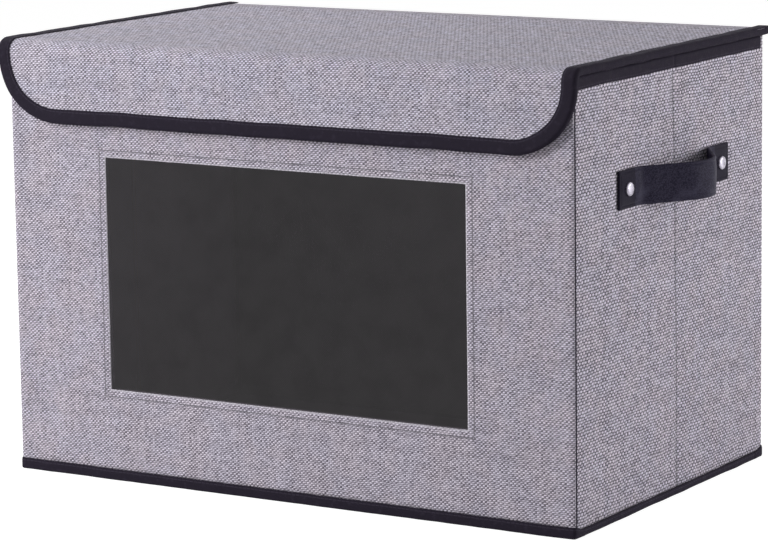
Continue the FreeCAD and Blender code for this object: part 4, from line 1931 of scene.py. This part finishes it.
@dataclass
class Foot:
    """Tape round the foot of the walls, the bottom cloth, and the sleeve of the base board."""

    ease: float = 0.1 * MM
    thickness: float = 0.8 * MM
    width: float = 8.0 * MM
    front_height: float = 7.1 * MM
    side_height: float = 4.8 * MM
    corner: float = 2.4 * MM

    def section(self, height: float) -> np.ndarray:
        """L section of the tape: up the wall and in under it, as (inward, up).

        Args:
            height: Height of the part on the wall.

        Returns:
            The closed outline.
        """
        bend = 1.0 * MM
        half = self.thickness / 2
        line = joined(run((half, height), (half, half + bend), 1.2 * MM),
                      arc((half + bend, half + bend), bend, 180, 270, 5),
                      run((half + bend, half), (self.width, half), 1.2 * MM))
        return banded(line, self.thickness, 0.08 * MM)

    def build_end(self, end: End) -> None:
        """Tape along one end wall and round its two corners, where it gets lower.

        Args:
            end: Which end wall.
        """
        reach = self.ease + self.thickness
        x, y = PLANES.side_x + reach, PLANES.end_y + reach
        half = joined(run((x, y - 12 * MM), (x, y - self.corner), 3 * MM),
                      arc((x - self.corner, y - self.corner), self.corner, 0, 90, 7))
        plan = joined(half, run((x - self.corner, y), (self.corner - x, y), 7 * MM),
                      (half * [-1, 1])[::-1])
        facing = normals_of(plan)
        mirror = (1, end.value, 1)
        lower = 1 - self.side_height / self.front_height
        tape = taped(f"{end.label}_foot_tape", placed(plan[:, 0], plan[:, 1], 0.0) * mirror,
                     placed(-facing[:, 0], -facing[:, 1], 0.0) * mirror, (0, 0, 1),
                     self.section(self.front_height), 61 + end.value,
                     tall=1 - lower * smooth((y - plan[:, 1] - 1 * MM) / (9 * MM)))
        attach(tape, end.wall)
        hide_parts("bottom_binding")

    def build_side(self, wall: SideWall) -> None:
        """Tape along one side wall, across the crease.

        Args:
            wall: The side wall.
        """
        reach = PLANES.end_y - 10 * MM
        along = steps(-reach, reach, 7 * MM, np.arange(-3, 3.1, 1.0) * MM)
        edge = PLANES.side_x + self.ease + self.thickness - 0.1 * MM
        tape = taped(f"{wall.side.label}_foot_tape", wall.mirrored(placed(edge, along, 0.0)),
                     (-wall.side.value, 0, 0), (0, 0, 1), self.section(self.side_height),
                     71 + wall.side.value)
        wall.across_crease(tape, wall.bend)

    def build_cloth(self) -> None:
        """Cloth that the box stands on."""
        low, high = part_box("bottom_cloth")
        points = placed(steps(low.x, high.x, 9 * MM), steps(low.y, high.y, 9 * MM)[:, None], 0.0)
        inner = smooth(np.minimum(high.x - np.abs(points[..., 0]),
                                  high.y - np.abs(points[..., 1])) / (20 * MM))
        waves = ripple(points[..., 0], points[..., 1], 90 * MM, 0.12 * MM, 83)
        points[..., 2] = 0.15 * MM + inner * np.abs(waves)
        cloth = make_piece("bottom_fleece", [Patch(points, points[..., :2])], LINING,
                           (0, 0, -1), 0.5 * MM)
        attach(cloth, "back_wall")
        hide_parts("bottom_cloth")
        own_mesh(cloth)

    def build_base(self) -> None:
        """Fleece sleeve round the base board: a thin pillow with rounded corners.

        At a distance d from its edge the half thickness is t sqrt(1 - (1 - d / 1.5 mm)^2), and
        t further in. In a corner of radius 3.5 mm the square rings of points, at the larger of
        their two distances from its centre, become round ones.
        """
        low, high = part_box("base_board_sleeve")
        ramp = np.array([0.0, 0.4, 1.0, 1.8, 3.0, 6.0]) * MM
        radius = 3.5 * MM
        halves = [(high.x - low.x) / 2, (high.y - low.y) / 2]
        grid = np.meshgrid(*(np.concatenate([
            ramp - half, steps(12 * MM - half, half - 12 * MM, 10 * MM), (half - ramp)[::-1]])
            for half in halves))
        over = [np.abs(place) - (half - radius) for place, half in zip(grid, halves)]
        in_corner = (over[0] > 0) & (over[1] > 0)
        share = np.where(in_corner, np.maximum(*over) / np.maximum(np.hypot(*over), 1e-9), 1.0)
        x, y = (np.where(in_corner, np.sign(place) * (half - radius + past * share), place)
                for place, half, past in zip(grid, halves, over))
        edge = np.minimum(*(half - np.abs(place) for place, half in zip(grid, halves)))
        swell = (high.z - low.z) / 2 * np.sqrt(1 - (1 - np.clip(edge / (1.5 * MM), 0, 1)) ** 2)
        sheets = [Patch(placed(x, y + (low.y + high.y) / 2, (low.z + high.z) / 2 + sign * swell),
                        placed(*grid)) for sign in (1, -1)]
        sleeve = make_piece("base_sleeve", sheets, LINING, crease=70)
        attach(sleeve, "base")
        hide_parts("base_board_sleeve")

    def build(self, walls: Sequence[SideWall]) -> None:
        """Builds every piece of the foot.

        Args:
            walls: Both side walls.
        """
        for end in End:
            self.build_end(end)
        for wall in walls:
            self.build_side(wall)
        self.build_cloth()
        self.build_base()


@dataclass
class CornerSeams:
    """Dark piping in the outer corner seams, partly painted shade of the seams, and seam tape in the
    inner corners.
    """

    sunk: float = 0.06 * MM
    thickness: float = 0.9 * MM

    def build_piping(self, side: Side, end: End) -> None:
        """A dark piping that fills one outer corner seam and also stands in for its shade.

        The front seams lie in the side walls, and the rear ones in the back wall.

        Args:
            side: The corner's side.
            end: The corner's end.
        """
        heights = steps(PLANES.foot_z, PLANES.panel_top_z - 4 * MM, 10 * MM)
        depth = self.sunk + self.thickness / 2
        in_x, in_y = (depth, SEAM.inset) if end is End.FRONT else (SEAM.inset, depth)
        path = placed(side.value * (PLANES.side_x - in_x),
                      end.value * (PLANES.end_y - in_y), heights)
        half = SEAM.gap / 2 + 0.25 * MM
        section = banded(run((-half, 0), (half, 0), 0.2 * MM), self.thickness)
        axes = [(side.value, 0, 0), (0, end.value, 0)]
        if end is End.FRONT:
            axes.reverse()
        # Dark piping that is partly a painted shade of the seam.
        piping_and_shade = make_piece(f"{side.label}_{end.label}_piping", swept(path, *axes, section),
                            TAPE)
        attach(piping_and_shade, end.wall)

    def build_tape(self, side: Side, end: End) -> None:
        """L section tape in one inner corner.

        Args:
            side: The corner's side.
            end: The corner's end.
        """
        node = f"{side.label}_{end.label}_corner_tape"
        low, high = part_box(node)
        inner_x, outer_x = sorted((abs(low.x), abs(high.x)))
        inner_y, outer_y = sorted((abs(low.y), abs(high.y)))
        inner_x += 0.4 * MM
        outer_y -= 0.4 * MM
        bend = 0.8 * MM
        line = joined(run((inner_x, inner_y), (inner_x, outer_y - bend), 0.8 * MM),
                      arc((inner_x + bend, outer_y - bend), bend, 180, 90, 4),
                      run((inner_x + bend, outer_y), (outer_x, outer_y), 0.8 * MM))
        tape = taped(f"{side.label}_{end.label}_inner_seam_tape",
                     placed(0.0, 0.0, steps(low.z, high.z, 12 * MM)), (side.value, 0, 0),
                     (0, end.value, 0), banded(line, 0.7 * MM), 91, sway=0.0)
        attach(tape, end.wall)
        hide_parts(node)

    def build(self) -> None:
        """Builds the piping and tape of every corner."""
        for side in Side:
            for end in End:
                self.build_piping(side, end)
                self.build_tape(side, end)


def dress_solids() -> None:
    """Gives boards and washers, whose solids show as they are, their finishes."""
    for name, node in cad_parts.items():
        finish = BOARD if name.endswith("board") else WASHER if name.endswith("washer") else None
        if finish is None:
            continue
        for slot in node.material_slots:
            slot.material = finish.material()
        if not node.material_slots:
            node.data.materials.append(finish.material())
        log.info("%s: finish %s", name, finish.title)


# Studio


@dataclass(frozen=True)
class Viewpoint:
    """Where the photograph was taken from, in metres, degrees and millimetres of film."""

    place: Point = (1.15857, -1.89375, 0.50600)
    azimuth: float = 31.5521
    elevation: float = 9.7703
    roll: float = -0.8220
    lens: float = 166.8523
    sensor: float = 36.0

    def build(self) -> None:
        """Makes the camera, turned by its azimuth, elevation and roll."""
        a, e, r = (math.radians(v) for v in (self.azimuth, self.elevation, self.roll))
        back = Vector((math.sin(a) * math.cos(e), -math.cos(a) * math.cos(e), math.sin(e)))
        level = Vector((math.cos(a), math.sin(a), 0))
        right = math.cos(r) * level + math.sin(r) * back.cross(level)
        camera = bpy.data.cameras.new("Camera")
        camera.lens = self.lens
        camera.sensor_width = self.sensor
        camera.clip_start = 0.05
        camera.clip_end = 60.0
        turned = Matrix((right, back.cross(right), back)).transposed().to_4x4()
        holder = show(bpy.data.objects.new("Camera", camera))
        holder.matrix_world = Matrix.Translation(self.place) @ turned
        bpy.context.scene.camera = holder


@dataclass(frozen=True)
class Lamp:
    """A soft square lamp of white light."""

    name: str
    place: Point
    aim: Point
    size: float
    watts: float

    def build(self) -> None:
        """Makes the lamp, turned towards its aim."""
        light = bpy.data.lights.new(self.name, "AREA")
        light.size = self.size
        light.energy = self.watts
        holder = show(bpy.data.objects.new(self.name, light))
        holder.location = self.place
        heading = Vector(self.aim) - Vector(self.place)
        holder.rotation_mode = "QUATERNION"
        holder.rotation_quaternion = heading.to_track_quat("-Z", "Y")


@dataclass(frozen=True)
class Studio:
    """White floor and surround, with soft lamps."""

    ambient: float = 0.18
    floor_radius: float = 12.0
    floor_z: float = -0.02 * MM
    lamps: Tuple[Lamp, ...] = (
        Lamp("Front lamp", (-1.3, -1.5, 0.9), (-0.1, -0.12, 0.14), 0.9, 32.5),
        Lamp("Left lamp", (-1.1, 0.1, 1.0), (-0.1, 0.0, 0.27), 0.8, 8.5),
        Lamp("Side lamp", (1.7, 0.9, 0.4), (0.2, 0.05, 0.14), 0.8, 17.6),
    )

    def build_surround(self) -> None:
        """World that is white where it is seen and gives even light elsewhere."""
        world = bpy.data.worlds.new("Surround")
        graph = emptied(world)
        lit, seen = (graph.value("ShaderNodeBackground", {"Color": (1.0, 1.0, 1.0, 1.0),
                                                          "Strength": strength})
                     for strength in (self.ambient, 1.0))
        mixed = graph.value("ShaderNodeMixShader", {0: graph.looked_at(), 1: lit, 2: seen})
        graph.add("ShaderNodeOutputWorld", {"Surface": mixed})
        bpy.context.scene.world = world

    def build_floor(self) -> None:
        """Round white floor that keeps the shadow of the box."""
        mesh = bpy.data.meshes.new("Floor")
        ring = arc((0, 0), self.floor_radius, 0, 354, 60)
        points = placed(ring[:, 0], ring[:, 1], self.floor_z)
        mesh.from_pydata(points.tolist(), [], [list(range(len(points)))])
        mesh.materials.append(FLOOR.material())
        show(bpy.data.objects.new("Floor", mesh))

    def build(self) -> None:
        """Makes the surround, the floor, the lamps and the plain view transform."""
        self.build_surround()
        self.build_floor()
        for lamp in self.lamps:
            lamp.build()
        bpy.context.scene.view_settings.view_transform = "Standard"


def main() -> None:
    """Builds the studio and every piece of the box, in order."""
    logging.basicConfig(level=logging.INFO, format="%(name)s %(message)s")
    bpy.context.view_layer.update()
    Viewpoint().build()
    Studio().build()
    FrontWall().build()
    walls = [SideWall(side) for side in Side]
    for wall in walls:
        wall.build()
    back = BackWall()
    back.build()
    LidAndFlap(back).build()
    Foot().build(walls)
    CornerSeams().build()
    dress_solids()


if __name__ == "__main__":
    main()
